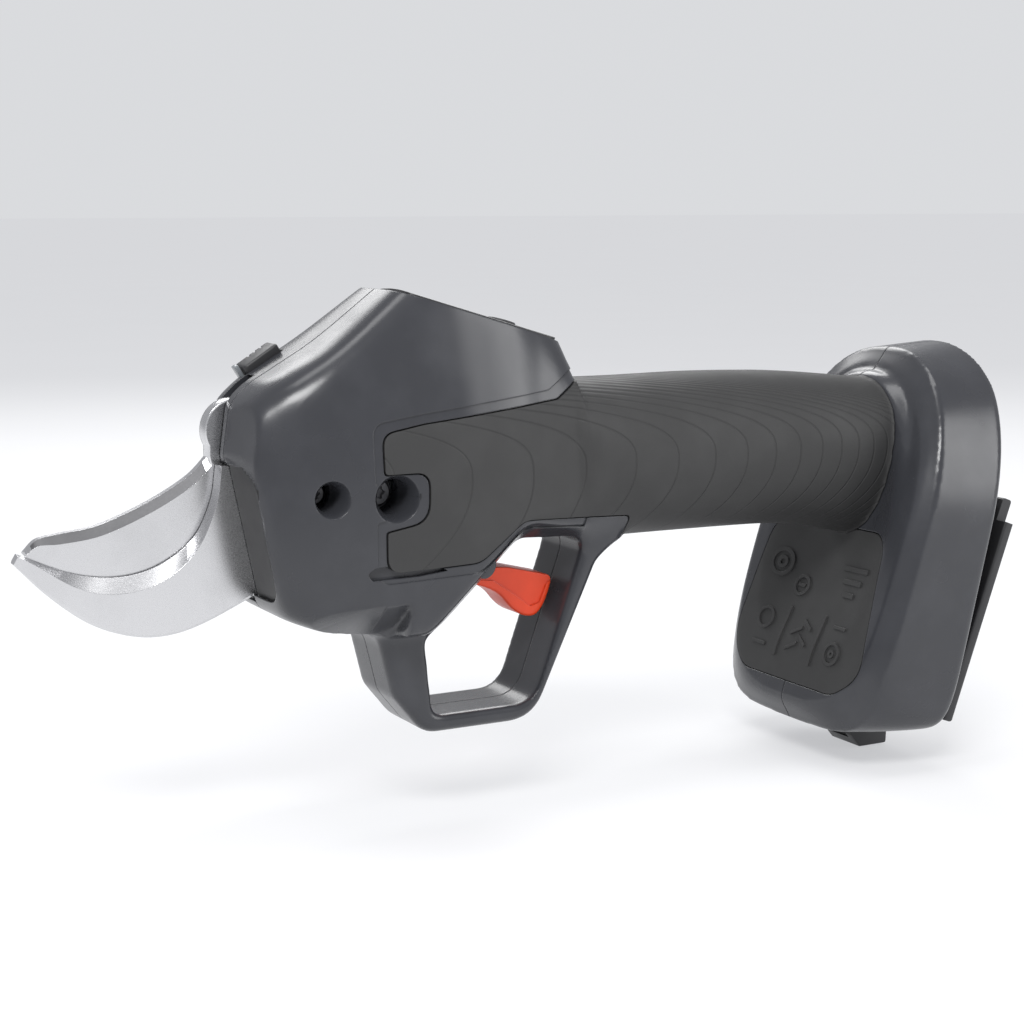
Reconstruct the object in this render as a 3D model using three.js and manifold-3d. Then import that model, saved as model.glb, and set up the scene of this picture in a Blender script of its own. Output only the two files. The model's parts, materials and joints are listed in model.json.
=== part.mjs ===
// Battery electric pruner, tool only. Millimetres, +Z up. The blades point along -X, the battery foot
// is at +X, and -Y is the side on the left hand of someone holding the handle.
import * as THREE from "three";
import { mergeVertices } from "three/addons/utils/BufferGeometryUtils.js";
import Module from "manifold-3d";

const wasm = await Module();
wasm.setup();

// ---------- driving dimensions ----------
const GAP = 0.3; // air between pieces that touch on the real tool
const GRIP_THICKNESS = 1.8;
const PAD_THICKNESS = 1.5;
const WALL = 2.5; // plastic under the grip
const SPLIT = 0.15; // half of the gap between the two shells
const AROUND = 24; // points around each body section
const INNER_AROUND = 12; // and around the hollow inside

// Head and handle: x, height above the axis, depth below it, half width, lean support, corner power.
// The lean support is the distance to the side plane that tips inwards towards the top of the head.
// Over the top panel the height runs past the panel plane, which then cuts a crisp edge.
const BODY = [
  [-132.2, 7, 20, 14.6, 15.5, 6],
  [-129.8, 19, 27, 18.8, 21, 6],
  [-125.4, 24.3, 31.5, 21.8, 24, 6],
  [-118, 28.8, 35.6, 24.4, 26.6, 7.5],
  [-108, 34.6, 38.7, 25.7, 28.1, 9],
  [-87.4, 49.6, 41, 26, 28.4, 10],
  [-76, 58, 39.5, 25.8, 28, 10],
  [-66, 58, 32.6, 25.1, 27.1, 9],
  [-57, 56, 26.4, 24.1, 26.1, 7.5],
  [-48, 50, 23.2, 22.8, 24.8, 5],
  [-41, 42, 22.4, 21.8, 24.4, 4],
  [-37.4, 33.4, 22.3, 21.3, 26, 3.4],
  [-33.4, 22.8, 22.3, 20.9, 60, 2.6],
  [-20, 22.7, 22.3, 20.2, 400, 2.2],
  [5, 22.9, 22.5, 19.8, 400, 2.1],
  [30, 22.3, 22.9, 19.6, 400, 2.1],
  [46, 21.2, 24.2, 19.5, 400, 2.1],
  [58, 20, 26.8, 19.6, 400, 2.1],
  [74, 18.4, 29.4, 19.6, 400, 2.1],
];
const LEAN = THREE.MathUtils.degToRad(16); // tilt of the upper side planes of the head

// Battery foot: centre x, centre z, tilt, height, depth, half width, power above and below the centre.
const FOOT = [
  [68, -4.8, 7.5, 24.2, 24.2, 19.8, 2.2, 2.2],
  [63.6, -18.4, 18.3, 41, 48.5, 29, 2.3, 3.2],
  [61.8, -24.4, 18.3, 47.6, 54.4, 33.4, 2.5, 4],
  [65.6, -25, 16.7, 54.4, 61.6, 38.6, 2.6, 8],
  [88.4, -25, 13.4, 55, 60.8, 38.9, 2.6, 9],
  [91.4, -25, 13.4, 53.4, 59, 37.2, 2.6, 9],
  [93, -25, 13.4, 50, 55.5, 33.6, 2.6, 9],
];

const GUARD_HALF = 12; // half thickness of the trigger guard
const PANEL_FRONT = [-86.4, 47.6]; // side view of the sloping top panel: front end
const PANEL_REAR = [-37.4, 32.9]; // and rear end
const PANEL_TILT = Math.atan2(PANEL_FRONT[1] - PANEL_REAR[1], PANEL_REAR[0] - PANEL_FRONT[0]);

const PIVOT = [-120, 10.5]; // blade axis in side view
const HOOK_Y = [-0.6, 3.5]; // the fixed blade lies between these planes
const BLADE_Y = [3.8, 8.2]; // and the moving blade between these
const SLOT_Y = [3.4, 8.6]; // slot in the right shell for the moving blade
const OPEN_ANGLE = 45; // degrees from closed to open

const DRIVE_TILT = 5; // degrees by which the motor axis dips towards the rear
const MOTOR_RADIUS = 13.6;
const GEAR_MODULE = 1;
const SUN_TEETH = 9;
const PLANET_TEETH = 9;
const RING_TEETH = 27;
const PLANET_ORBIT = (GEAR_MODULE * (SUN_TEETH + PLANET_TEETH)) / 2;
const BEVEL_RATIO = 2; // pinion turns for each turn of the toothed sector on the moving blade
const BEVEL_TEETH = 30; // teeth that a full circle of the sector would have
const PINION_TEETH = BEVEL_TEETH / BEVEL_RATIO;
const BEVEL_INNER = 8.95; // the bevel teeth lie between these distances from the blade axis
const BEVEL_OUTER = 13.2;

const FOOT_TILT = 20; // degrees by which the battery rail leans back at the top
const RAIL_CORNER = [84.8, -83.2]; // side view of the rail's lower outer edge
const RAIL_LENGTH = 69;
const RAIL_HALF = 31;
const PAD_CORNER = [48.4, -71.4]; // side view of the front pad's lower edge

const TRIGGER_PIVOT = [-68.5, -23.4];

// ---------- materials ----------
const finish = (color, roughness, metalness) =>
  new THREE.MeshStandardMaterial({ color, roughness, metalness });
const housing = finish(0x4b4c50, 0.3, 0);
const rubber = finish(0x424242, 0.8, 0);
const darkPlastic = finish(0x333437, 0.5, 0);
const orange = finish(0xec5331, 0.35, 0);
const bladeSteel = finish(0xd9dadc, 0.25, 1);
const steel = finish(0xa9abad, 0.35, 1);
const darkSteel = finish(0x56585b, 0.45, 1);
const aluminium = finish(0xb4b6b8, 0.5, 1);
const magnet = finish(0x3a3b3d, 0.4, 0.8);
const brass = finish(0xc79a4a, 0.35, 1);
const circuit = finish(0x1f5a35, 0.5, 0);
const lens = finish(0xe4e8ea, 0.1, 0);
const red = finish(0xa32020, 0.5, 0);
const black = finish(0x1b1b1c, 0.5, 0);

// ---------- solids ----------
const part = new THREE.Group();
part.name = "pruner";

function solid(geometry) {
  const bare = geometry.index ? geometry.toNonIndexed() : geometry.clone();
  bare.deleteAttribute("normal");
  bare.deleteAttribute("uv");
  const merged = mergeVertices(bare, 1e-4);
  const made = new wasm.Manifold(
    new wasm.Mesh({
      numProp: 3,
      vertProperties: merged.attributes.position.array,
      triVerts: new Uint32Array(merged.index.array),
    }),
  );
  return made;
}

function geometryOf(manifold) {
  const mesh = manifold.getMesh();
  const geometry = new THREE.BufferGeometry();
  geometry.setAttribute("position", new THREE.BufferAttribute(mesh.vertProperties, 3));
  geometry.setIndex(new THREE.BufferAttribute(mesh.triVerts, 1));
  const flat = geometry.toNonIndexed();
  flat.computeVertexNormals();
  return flat;
}

const union = (...solids) => solids.reduce((whole, piece) => whole.add(piece));
const cut = (whole, ...tools) => tools.reduce((rest, tool) => rest.subtract(tool), whole);

function add(name, shape, material, parent = part) {
  const geometry = shape.isBufferGeometry ? shape : geometryOf(shape);
  const mesh = new THREE.Mesh(geometry, material);
  mesh.name = name;
  parent.add(mesh);
  return mesh;
}

// Closed surface through rings that all have the same number of points, with a fan over each end.
function loft(rings) {
  const count = rings[0].length;
  const points = rings.flat();
  const faces = [];
  for (let ring = 0; ring + 1 < rings.length; ring++)
    for (let i = 0; i < count; i++) {
      const a = ring * count + i;
      const b = ring * count + ((i + 1) % count);
      faces.push(a, b, b + count, a, b + count, a + count);
    }
  const last = (rings.length - 1) * count;
  for (let i = 1; i + 1 < count; i++) {
    faces.push(0, i + 1, i);
    faces.push(last, last + i, last + i + 1);
  }
  const geometry = new THREE.BufferGeometry().setFromPoints(points);
  geometry.setIndex(faces);
  const made = solid(geometry);
  if (made.volume() > 0) return made;
  geometry.setIndex(faces.reverse());
  return solid(geometry);
}

const box = (x0, x1, y0, y1, z0, z1) =>
  solid(
    new THREE.BoxGeometry(x1 - x0, y1 - y0, z1 - z0).translate(
      (x0 + x1) / 2,
      (y0 + y1) / 2,
      (z0 + z1) / 2,
    ),
  );

// A shape drawn in side view (x, z) and extruded from y0 to y1, with its edges rounded by bevel.
function plate(shape, y0, y1, bevel = 0, curveSegments = 6) {
  const geometry = new THREE.ExtrudeGeometry(shape, {
    depth: y1 - y0 - 2 * bevel,
    bevelEnabled: bevel > 0,
    bevelThickness: bevel,
    bevelSize: bevel,
    bevelOffset: -bevel,
    bevelSegments: 2,
    curveSegments,
  });
  geometry.rotateX(Math.PI / 2);
  geometry.translate(0, y1 - bevel, 0);
  return solid(geometry);
}

const outline = (points) => new THREE.Shape(points.map(([x, z]) => new THREE.Vector2(x, z)));

// Outline through corner points, each corner rounded by the radius given with it.
function roundedOutline(corners, path = new THREE.Shape()) {
  corners.forEach(([x, z, radius = 0], i) => {
    const corner = new THREE.Vector2(x, z);
    const [px, pz] = corners[(i + corners.length - 1) % corners.length];
    const [nx, nz] = corners[(i + 1) % corners.length];
    const before = new THREE.Vector2(px, pz).sub(corner);
    const after = new THREE.Vector2(nx, nz).sub(corner);
    const half = Math.abs(before.angleTo(after)) / 2;
    const reach = radius / Math.tan(half || 1);
    const start = corner.clone().addScaledVector(before.normalize(), reach);
    const end = corner.clone().addScaledVector(after.normalize(), reach);
    if (i === 0) path.moveTo(start.x, start.y);
    else path.lineTo(start.x, start.y);
    if (radius) path.quadraticCurveTo(x, z, end.x, end.y);
  });
  path.closePath();
  return path;
}

// Solid of revolution about a line along Y through (x, z); profile points are [radius, y].
function turnedY(profile, x, z, segments = 20) {
  const points = profile.map(([radius, y]) => new THREE.Vector2(radius, y));
  const geometry = new THREE.LatheGeometry(points, segments).translate(x, 0, z);
  const made = solid(geometry);
  if (made.volume() > 0) return made;
  return solid(new THREE.LatheGeometry(points.reverse(), segments).translate(x, 0, z));
}

// Solid of revolution about the local X axis; profile points are [x, radius].
function turnedX(profile, segments = 20) {
  const make = (points) => {
    const geometry = new THREE.LatheGeometry(points, segments);
    geometry.rotateZ(-Math.PI / 2);
    return solid(geometry);
  };
  const points = profile.map(([x, radius]) => new THREE.Vector2(radius, x));
  const made = make(points);
  return made.volume() > 0 ? made : make(points.reverse());
}

const barY = (x, z, radius, y0, y1, segments = 16) =>
  turnedY([[0, y0], [radius, y0], [radius, y1], [0, y1]], x, z, segments);

// ---------- outer body ----------
// Distance from the axis to a body section in one direction: a rounded polygon of support planes.
function sectionRadius(angle, top, bottom, side, lean, power) {
  const y = Math.abs(Math.cos(angle));
  const z = Math.sin(angle);
  const reach = [
    y / side,
    Math.max(z, 0) / top,
    Math.max(-z, 0) / bottom,
    (y * Math.cos(LEAN) + z * Math.sin(LEAN)) / lean,
  ];
  const sum = reach.reduce((total, r) => total + Math.max(r, 0) ** power, 0);
  return sum ** (-1 / power);
}

function bodyRing([x, top, bottom, side, lean, power], inset, around) {
  return Array.from({ length: around }, (_, i) => {
    const angle = (2 * Math.PI * i) / around;
    const radius = sectionRadius(
      angle,
      top - inset,
      bottom - inset,
      side - inset,
      lean - inset,
      power,
    );
    return new THREE.Vector3(x, radius * Math.cos(angle), radius * Math.sin(angle));
  });
}

// A body section at any x, in proportion between the two listed sections beside it.
function bodyRow(x) {
  const next = BODY.findIndex((row) => row[0] > x);
  const [low, high] = [BODY[next - 1], BODY[next]];
  const share = (x - low[0]) / (high[0] - low[0]);
  return low.map((value, i) => value + share * (high[i] - value));
}

// Head and handle, inset from the skin, from the front wall to the plane x = rear.
function headAndHandle(inset, front = BODY[0][0], rear = 74, around = AROUND) {
  const inner = BODY.filter(([x]) => x > front + 0.5 && x < rear - 0.5);
  const first = front > BODY[0][0] ? bodyRow(front) : BODY[0];
  const last = rear < 74 ? bodyRow(rear) : BODY[BODY.length - 1];
  const whole = loft([first, ...inner, last].map((row) => bodyRing(row, inset, around)));
  return cut(whole, abovePanel(inset));
}

// The space over the plane of the top panel, that plane lowered by depth, as far back as the panel.
function abovePanel(depth) {
  const length = Math.hypot(PANEL_REAR[0] - PANEL_FRONT[0], PANEL_FRONT[1] - PANEL_REAR[1]);
  const slab = new THREE.BoxGeometry(length + 41, 120, 60);
  slab.translate(length / 2 - 19.5, 0, 30 - depth);
  slab.rotateY(PANEL_TILT);
  slab.translate(PANEL_FRONT[0], 0, PANEL_FRONT[1]);
  return solid(slab);
}

function footRing([x, z, tilt, up, down, side, powerUp, powerDown], inset, shift, around) {
  const lean = THREE.MathUtils.degToRad(tilt);
  return Array.from({ length: around }, (_, i) => {
    const angle = (2 * Math.PI * i) / around;
    const power = Math.sin(angle) > 0 ? powerUp : powerDown;
    const radius = sectionRadius(angle, up - inset, down - inset, side - inset, 1e6, power);
    const height = radius * Math.sin(angle);
    return new THREE.Vector3(
      x + shift + height * Math.sin(lean),
      radius * Math.cos(angle),
      z + height * Math.cos(lean),
    );
  });
}

function foot(inset, around = AROUND) {
  return loft(FOOT.map((row, i) => footRing(row, inset, i < 4 ? inset : -inset, around)));
}

// ---------- trigger guard and openings ----------
const guardOutline = roundedOutline([
  [-97, -30],
  [-93.6, -42],
  [-89.4, -59, 7],
  [-80.5, -70, 8],
  [-47.1, -70, 12],
  [-27.2, -27.6, 7],
  [-20, -21.6],
  [-20, -8],
  [-97, -8],
]);

// The finger opening, grown by margin on every side.
const openingOutline = (margin) =>
  roundedOutline([
    [-53 + margin * 0.4, -18.9 + margin, 6],
    [-80.4 - margin, -44.4 + margin * 0.4, 4],
    [-78.3 - margin, -65.2 - margin, 4],
    [-47.2 + margin * 0.6, -65.2 - margin, 9],
    [-31 + margin, -19.8 + margin, 5],
  ]);

// Side view of the soft grip: a panel on the head with a bay for a screw boss, then the whole handle.
function gripOutline(margin) {
  const m = margin;
  return roundedOutline([
    [-43.6 - m, 18.6 + m, 2],
    [-36.6 - m, 22.8 + m, 1],
    [-32.4 - m, 24 + m],
    [-32.4 - m, 45],
    [80, 45],
    [80, -45],
    [-19.5 - m, -45],
    [-19.5 - m, -14.4 - m, 2],
    [-57 + m / 2, -12 - m, 8],
    [-71 + m / 2, -21.7 - m, 8],
    [-97.6 - m, -22.4 - m, 4],
    [-97.6 - m, -12 + m, 1],
    [-85.6 - m, -10 + m, 6],
    [-85.2 - m, 2.8 - m, 4],
    [-97.8 - m, 2.8 - m, 1],
    [-97.8 - m, 12.8 + m, 4],
    [-86, 14.8 + m, 8],
  ]);
}

// ---------- fixed blade and moving blade ----------
const BOLT_RADIUS = 3.5;
const BUSH_RADIUS = 4.8;
const HUB_PINS = [-10, 50]; // angles of the pins that key the toothed sector to the moving blade
const HUB_PIN_ORBIT = 6.9;
const HEAD_SCREWS = [
  [-112.4, -2.4, 3.6],
  [-94.6, -3.3, 4.7],
]; // side view of each screw, and the radius of its counterbore

function hookBlade() {
  const shape = new THREE.Shape();
  shape.moveTo(-183, -13.4);
  shape.splineThru(
    [
      [-171.2, -20.2],
      [-159.6, -22.3],
      [-148.8, -20.4],
      [-139.2, -14.1],
      [-134.2, -4.8],
      [-132.6, 4.4],
    ].map(([x, z]) => new THREE.Vector2(x, z)),
  );
  shape.lineTo(-128.6, 4.6);
  shape.lineTo(-128.6, 12);
  shape.absarc(PIVOT[0], PIVOT[1], 8.4, Math.PI * 0.95, -Math.PI * 0.3, true);
  shape.lineTo(-111.6, 0.9);
  shape.lineTo(-88, 0.2);
  shape.lineTo(-86, -2);
  shape.lineTo(-88, -9);
  shape.lineTo(-106, -11);
  shape.lineTo(-117, -27);
  shape.lineTo(-124.3, -29.9);
  shape.splineThru(
    [
      [-138.6, -35.2],
      [-149.4, -36.9],
      [-160, -35.4],
      [-171, -30],
      [-184.9, -19.6],
      [-185.9, -16.4],
    ].map(([x, z]) => new THREE.Vector2(x, z)),
  );
  shape.lineTo(-185.1, -14.4);
  shape.closePath();
  const holes = [[...PIVOT, BOLT_RADIUS + GAP], ...HEAD_SCREWS.map(([x, z]) => [x, z, 2.2])];
  const drilled = holes.map(([x, z, radius]) => barY(x, z, radius, -5, 9));
  return cut(plate(shape, HOOK_Y[0], HOOK_Y[1], 0, 3), ...drilled);
}

const hubPinCentre = (degrees) => {
  const angle = THREE.MathUtils.degToRad(degrees);
  return [PIVOT[0] + HUB_PIN_ORBIT * Math.cos(angle), PIVOT[1] + HUB_PIN_ORBIT * Math.sin(angle)];
};

const hubBores = () => [
  barY(...PIVOT, BUSH_RADIUS + GAP, 0, 20),
  ...HUB_PINS.map((degrees) => barY(...hubPinCentre(degrees), 1.3, 0, 20, 10)),
];

function cuttingBlade() {
  const shape = new THREE.Shape();
  shape.moveTo(-133.9, 6.6);
  shape.splineThru(
    [
      [-139.5, 1.4],
      [-150.2, -4.4],
      [-163, -9.2],
      [-173, -10.6],
      [-179, -11.6],
      [-182, -15.2],
    ].map(([x, z]) => new THREE.Vector2(x, z)),
  );
  shape.splineThru(
    [
      [-171, -23.4],
      [-158.6, -26],
      [-147, -24],
      [-136.6, -17],
      [-130.6, -7],
      [-123, 1],
    ].map(([x, z]) => new THREE.Vector2(x, z)),
  );
  shape.absarc(PIVOT[0], PIVOT[1], 8.3, -Math.PI * 0.45, Math.PI * 0.45, false);
  shape.absarc(-127.3, 12.9, 9, Math.PI * 0.4, Math.PI * 1.15, false);
  shape.closePath();
  return cut(plate(shape, BLADE_Y[0], BLADE_Y[1], 0, 3), ...hubBores());
}

// ---------- shells, grips and pad ----------
const FOOT_WALL = 4;
const CAVITY_INSET = WALL + GRIP_THICKNESS + GAP;
const SCREWS = [
  [-97, 27, 20],
  [-85.4, -54, 9],
  [60.5, -73, 16],
  [87, 12, 16],
]; // side view of each shell screw, and how far out its head sits

// The moving blade's shoulder sweeps this part of the slot as the blade opens.
function bladeSlot() {
  const mouth = box(-140, -123, SLOT_Y[0], SLOT_Y[1], -31.5, 22);
  const steps = [0, 15, 30, OPEN_ANGLE].map((degrees) => {
    const angle = THREE.MathUtils.degToRad(degrees);
    const [dx, dz] = [-127.3 - PIVOT[0], 12.9 - PIVOT[1]];
    const x = PIVOT[0] + dx * Math.cos(angle) + dz * Math.sin(angle);
    const z = PIVOT[1] - dx * Math.sin(angle) + dz * Math.cos(angle);
    return barY(x, z, 9.6, SLOT_Y[0], SLOT_Y[1], 20);
  });
  return union(mouth, ...steps);
}

// The space in front of the sloping front wall, reaching back by inset behind it.
function frontSlope(inset = 0) {
  const wedge = outline([
    [-140, 5 + inset],
    [-131.6 + inset, 5 + inset],
    [-124.4 + inset, -30],
    [-123 + inset, -45],
    [-140, -45],
  ]);
  return plate(wedge, -40, 40);
}

// The finger opening through the whole tool, flaring out beyond the guard's sides.
function fingerOpening(margin) {
  const flare = [-1, 1].map((side) => {
    const ring = (y, grow) =>
      openingOutline(margin + grow)
        .getPoints(4)
        .slice(0, -1)
        .map((point) => new THREE.Vector3(point.x, side * y, point.y));
    return loft([ring(GUARD_HALF, 0), ring(GUARD_HALF + 20, 12)]);
  });
  return union(plate(openingOutline(margin), -40, 40, 0, 4), ...flare);
}

function triggerSlot() {
  const side = outline([
    [-74, -17],
    [-60, -17],
    [-54, -21],
    [-60, -34],
    [-70, -38],
    [-74.5, -29],
  ]);
  return plate(side, -6.6, 6.6);
}

// Coordinates across, along and out of the battery rail's face.
function onRail(geometry, [x, z] = RAIL_CORNER) {
  const lean = THREE.MathUtils.degToRad(FOOT_TILT);
  const frame = new THREE.Matrix4().makeBasis(
    new THREE.Vector3(0, 1, 0),
    new THREE.Vector3(Math.sin(lean), 0, Math.cos(lean)),
    new THREE.Vector3(Math.cos(lean), 0, -Math.sin(lean)),
  );
  frame.setPosition(x, 0, z);
  return solid(geometry.applyMatrix4(frame));
}

const railBox = (y0, y1, v0, v1, w0, w1) =>
  onRail(
    new THREE.BoxGeometry(y1 - y0, v1 - v0, w1 - w0).translate(
      (y0 + y1) / 2,
      (v0 + v1) / 2,
      (w0 + w1) / 2,
    ),
  );

function padPrism(margin) {
  const m = margin;
  const shape = roundedOutline([
    [-31.5 - m, 5.5, 12],
    [-26 - m, 48 + m, 10],
    [26 + m, 48 + m, 10],
    [31.5 + m, 5.5, 12],
    [22, -1.5 - m, 10],
    [-22, -1.5 - m, 10],
  ]);
  const options = { depth: 22, bevelEnabled: false, curveSegments: 3 };
  const geometry = new THREE.ExtrudeGeometry(shape, options).translate(0, 0, -10);
  return onRail(geometry, PAD_CORNER);
}

function housingBody() {
  const pocket = cut(plate(gripOutline(GAP), -40, 40, 0, 2), headAndHandle(GRIP_THICKNESS + GAP));
  const guard = plate(guardOutline, -GUARD_HALF, GUARD_HALF, 3, 2);
  const keep = union(fingerOpening(2.4), frontSlope(3));
  const padPocket = cut(padPrism(GAP), foot(PAD_THICKNESS + GAP), headAndHandle(0));
  let body = union(cut(headAndHandle(0), pocket), cut(foot(0), padPocket), guard);
  const cavity = cut(headAndHandle(CAVITY_INSET, -127.4, 73.5, INNER_AROUND), keep);
  body = cut(body, cavity, foot(FOOT_WALL, INNER_AROUND));
  const bosses = [];
  for (const [x, z, radius] of HEAD_SCREWS)
    bosses.push(barY(x, z, radius + 1.7, -24, -6.4).subtract(barY(x, z, radius + 1, -8, -6)));
  for (const [x, z] of SCREWS) bosses.push(barY(x, z, 4.4, -40, 40, 12));
  for (const side of [-1, 1]) bosses.push(barY(...TRIGGER_PIVOT, 3.3, side * 6.9, side * 26, 12));
  const inside = headAndHandle(2).add(foot(2));
  body = union(body, ...bosses.map((boss) => boss.intersect(inside)));
  const tools = [fingerOpening(0), frontSlope(), bladeSlot(), triggerSlot()];
  tools.push(box(-140, -112, HOOK_Y[0] - GAP, SLOT_Y[0] + 0.1, -31.5, 5.3));
  tools.push(box(-129.1, -112, HOOK_Y[0] - GAP, SLOT_Y[0] + 0.1, 4, 19.3));
  tools.push(barY(...PIVOT, 7, SLOT_Y[1] - 0.1, 17, 16));
  for (const [x, z, radius] of HEAD_SCREWS)
    tools.push(barY(x, z, radius, -40, -10.5, 20), barY(x, z, 2.2, -12, -5));
  for (const [x, z, out] of SCREWS)
    tools.push(barY(x, z, 3.3, out - 5, 50), barY(x, z, 1.9, -6, out, 12));
  for (const side of [-1, 1]) tools.push(barY(...TRIGGER_PIVOT, 1.8, side * 6, side * 9.8, 12));
  tools.push(railBox(-25.3, 25.3, 1.7, 66.3, -16, 12));
  return cut(body, ...tools);
}

const shellBody = housingBody();
const leftHalf = box(-200, 200, -80, -SPLIT, -150, 100);
const rightHalf = box(-200, 200, SPLIT, 80, -150, 100);

function softGrip() {
  const skin = cut(headAndHandle(0), headAndHandle(GRIP_THICKNESS));
  return cut(skin.intersect(plate(gripOutline(0), -40, 40, 0, 2)), foot(-GAP));
}

const gripSkin = softGrip();
const footPad = cut(foot(0), foot(PAD_THICKNESS), headAndHandle(-GAP)).intersect(padPrism(0));

// ---------- top panel, button and light ----------
const PANEL_LENGTH = Math.hypot(PANEL_REAR[0] - PANEL_FRONT[0], PANEL_FRONT[1] - PANEL_REAR[1]);
const PANEL_DEPTH = 1.6;
const BUTTON_X = 36; // along the panel from its front edge
const BUTTON_RADIUS = 4;
const WINDOW_X = 20;

const PANEL_RISE = 1.2; // how far the panel stands over the roof of the head

const panelOutline = (margin) =>
  roundedOutline([
    [2.5 - margin, -10 - margin, 3],
    [PANEL_LENGTH - 3 + margin, -12.2 - margin, 4],
    [PANEL_LENGTH - 3 + margin, 12.2 + margin, 4],
    [2.5 - margin, 10 + margin, 3],
  ]);

const windowOutline = (margin) =>
  roundedOutline([
    [WINDOW_X - 5 - margin, -2 - margin, 1.5],
    [WINDOW_X + 5 + margin, -2 - margin, 1.5],
    [WINDOW_X + 5 + margin, 2 + margin, 1.5],
    [WINDOW_X - 5 - margin, 2 + margin, 1.5],
  ]);

// A shape drawn on the panel plane, extruded from z0 to z1 along the panel's own upward axis.
function slab(shape, z0, z1, curveSegments = 4) {
  const geometry = new THREE.ExtrudeGeometry(shape, { depth: z1 - z0, bevelEnabled: false, curveSegments });
  return solid(geometry.translate(0, 0, z0));
}

function round(radius, z0, z1, x = 0, segments = 20) {
  const geometry = new THREE.CylinderGeometry(radius, radius, z1 - z0, segments);
  geometry.rotateX(Math.PI / 2);
  return solid(geometry.translate(x, 0, (z0 + z1) / 2));
}

const panelFrame = new THREE.Group();
panelFrame.position.set(PANEL_FRONT[0], 0, PANEL_FRONT[1]);
panelFrame.rotation.y = PANEL_TILT;
part.add(panelFrame);
panelFrame.updateMatrixWorld(true);

const topPanel = cut(
  slab(panelOutline(0), -PANEL_DEPTH, PANEL_RISE),
  round(BUTTON_RADIUS + GAP, -4, 2, BUTTON_X),
  slab(windowOutline(GAP), -4, 2),
);
add("top_panel", topPanel, darkPlastic, panelFrame);
add("status_window", slab(windowOutline(0), -PANEL_DEPTH, PANEL_RISE + 0.1), lens, panelFrame);
add(
  "power_button",
  union(
    round(BUTTON_RADIUS, -PANEL_DEPTH, PANEL_RISE + 0.8, BUTTON_X),
    round(1.6, -6.4, -PANEL_DEPTH + 0.1, BUTTON_X, 10),
  ),
  darkPlastic,
  panelFrame,
);

const lightFrame = new THREE.Group();
lightFrame.position.set(-117, 12.8, 29);
lightFrame.rotation.y = -THREE.MathUtils.degToRad(32.6);
part.add(lightFrame);
lightFrame.updateMatrixWorld(true);

const lightOutline = roundedOutline([
  [-4.5, -3.6, 1.2],
  [6.5, -3.6, 1.2],
  [6.5, 3.6, 1.2],
  [-4.5, 3.6, 1.2],
]);
add("work_light_housing", slab(lightOutline, -1.8, 2.3), darkPlastic, lightFrame);
const lightLens = new THREE.BoxGeometry(1.2, 6, 2.8).translate(-5.4, 0, 0.4);
add("work_light_lens", lightLens, lens, lightFrame);

const placed = (shape, group) => {
  const at = group.matrixWorld;
  return shape.transform(at.elements);
};

const panelRecess = placed(slab(panelOutline(GAP), -PANEL_DEPTH - GAP, 20), panelFrame);
const buttonHole = placed(
  union(round(2.2, -12, -2, BUTTON_X, 12), round(BUTTON_RADIUS + GAP, -3.2, 1, BUTTON_X)),
  panelFrame,
);
const lightRecess = placed(
  solid(new THREE.BoxGeometry(13.1, 7.8, 20).translate(0.25, 0, 10 - 2.1)),
  lightFrame,
);
const shells = cut(shellBody, panelRecess, buttonHole, lightRecess);

add("left_shell", shells.intersect(leftHalf), housing);
add("right_shell", shells.intersect(rightHalf), housing);
add("left_grip", gripSkin.intersect(leftHalf), rubber);
add("right_grip", gripSkin.intersect(rightHalf), rubber);
add("foot_pad", footPad, rubber);
add("hook_blade", hookBlade(), bladeSteel);
add("cutting_blade", cuttingBlade(), bladeSteel);

// ---------- blade joint: bolt, bush, toothed sector ----------
const SECTOR_TOP = 11; // far face of the sector
const bevelPitch = (2 * Math.PI) / BEVEL_TEETH;
const CONE = 1 / BEVEL_RATIO; // height of the pitch cone over its radius
const ROOT_DEPTH = 0.087; // tooth root and tip from the pitch cone, over the radius
const TIP_HEIGHT = 0.071;

function bevelTooth(angle) {
  const ring = (radius) =>
    [
      [-0.3, CONE + ROOT_DEPTH + 0.05],
      [-0.12, CONE - TIP_HEIGHT],
      [0.12, CONE - TIP_HEIGHT],
      [0.3, CONE + ROOT_DEPTH + 0.05],
    ].map(([share, height]) => {
      const turn = angle + share * bevelPitch;
      return new THREE.Vector3(
        PIVOT[0] + radius * Math.cos(turn),
        radius * height,
        PIVOT[1] + radius * Math.sin(turn),
      );
    });
  return loft([ring(BEVEL_INNER), ring(BEVEL_OUTER)]);
}

function bevelSector() {
  const root = (radius) => radius * (CONE + ROOT_DEPTH);
  const rim = turnedY(
    [
      [6, BLADE_Y[1] + GAP],
      [BEVEL_INNER - 0.3, BLADE_Y[1] + GAP],
      [BEVEL_INNER, root(BEVEL_INNER)],
      [BEVEL_OUTER, root(BEVEL_OUTER)],
      [BEVEL_OUTER + 0.2, SECTOR_TOP],
      [6, SECTOR_TOP],
      [6, BLADE_Y[1] + GAP],
    ],
    ...PIVOT,
    30,
  );
  const reach = (degrees) => {
    const angle = THREE.MathUtils.degToRad(degrees);
    return [PIVOT[0] + 30 * Math.cos(angle), PIVOT[1] + 30 * Math.sin(angle)];
  };
  const fan = plate(outline([PIVOT, reach(-20), reach(10), reach(55)]), 0, 20);
  const hub = barY(...PIVOT, 6.9, BLADE_Y[1] + GAP, SECTOR_TOP, 28);
  const mesh = THREE.MathUtils.degToRad(-DRIVE_TILT);
  const teeth = Array.from({ length: 6 }, (_, i) => bevelTooth(mesh + (i - 1) * bevelPitch));
  return cut(union(rim.intersect(fan), hub, ...teeth), ...hubBores());
}

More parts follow.
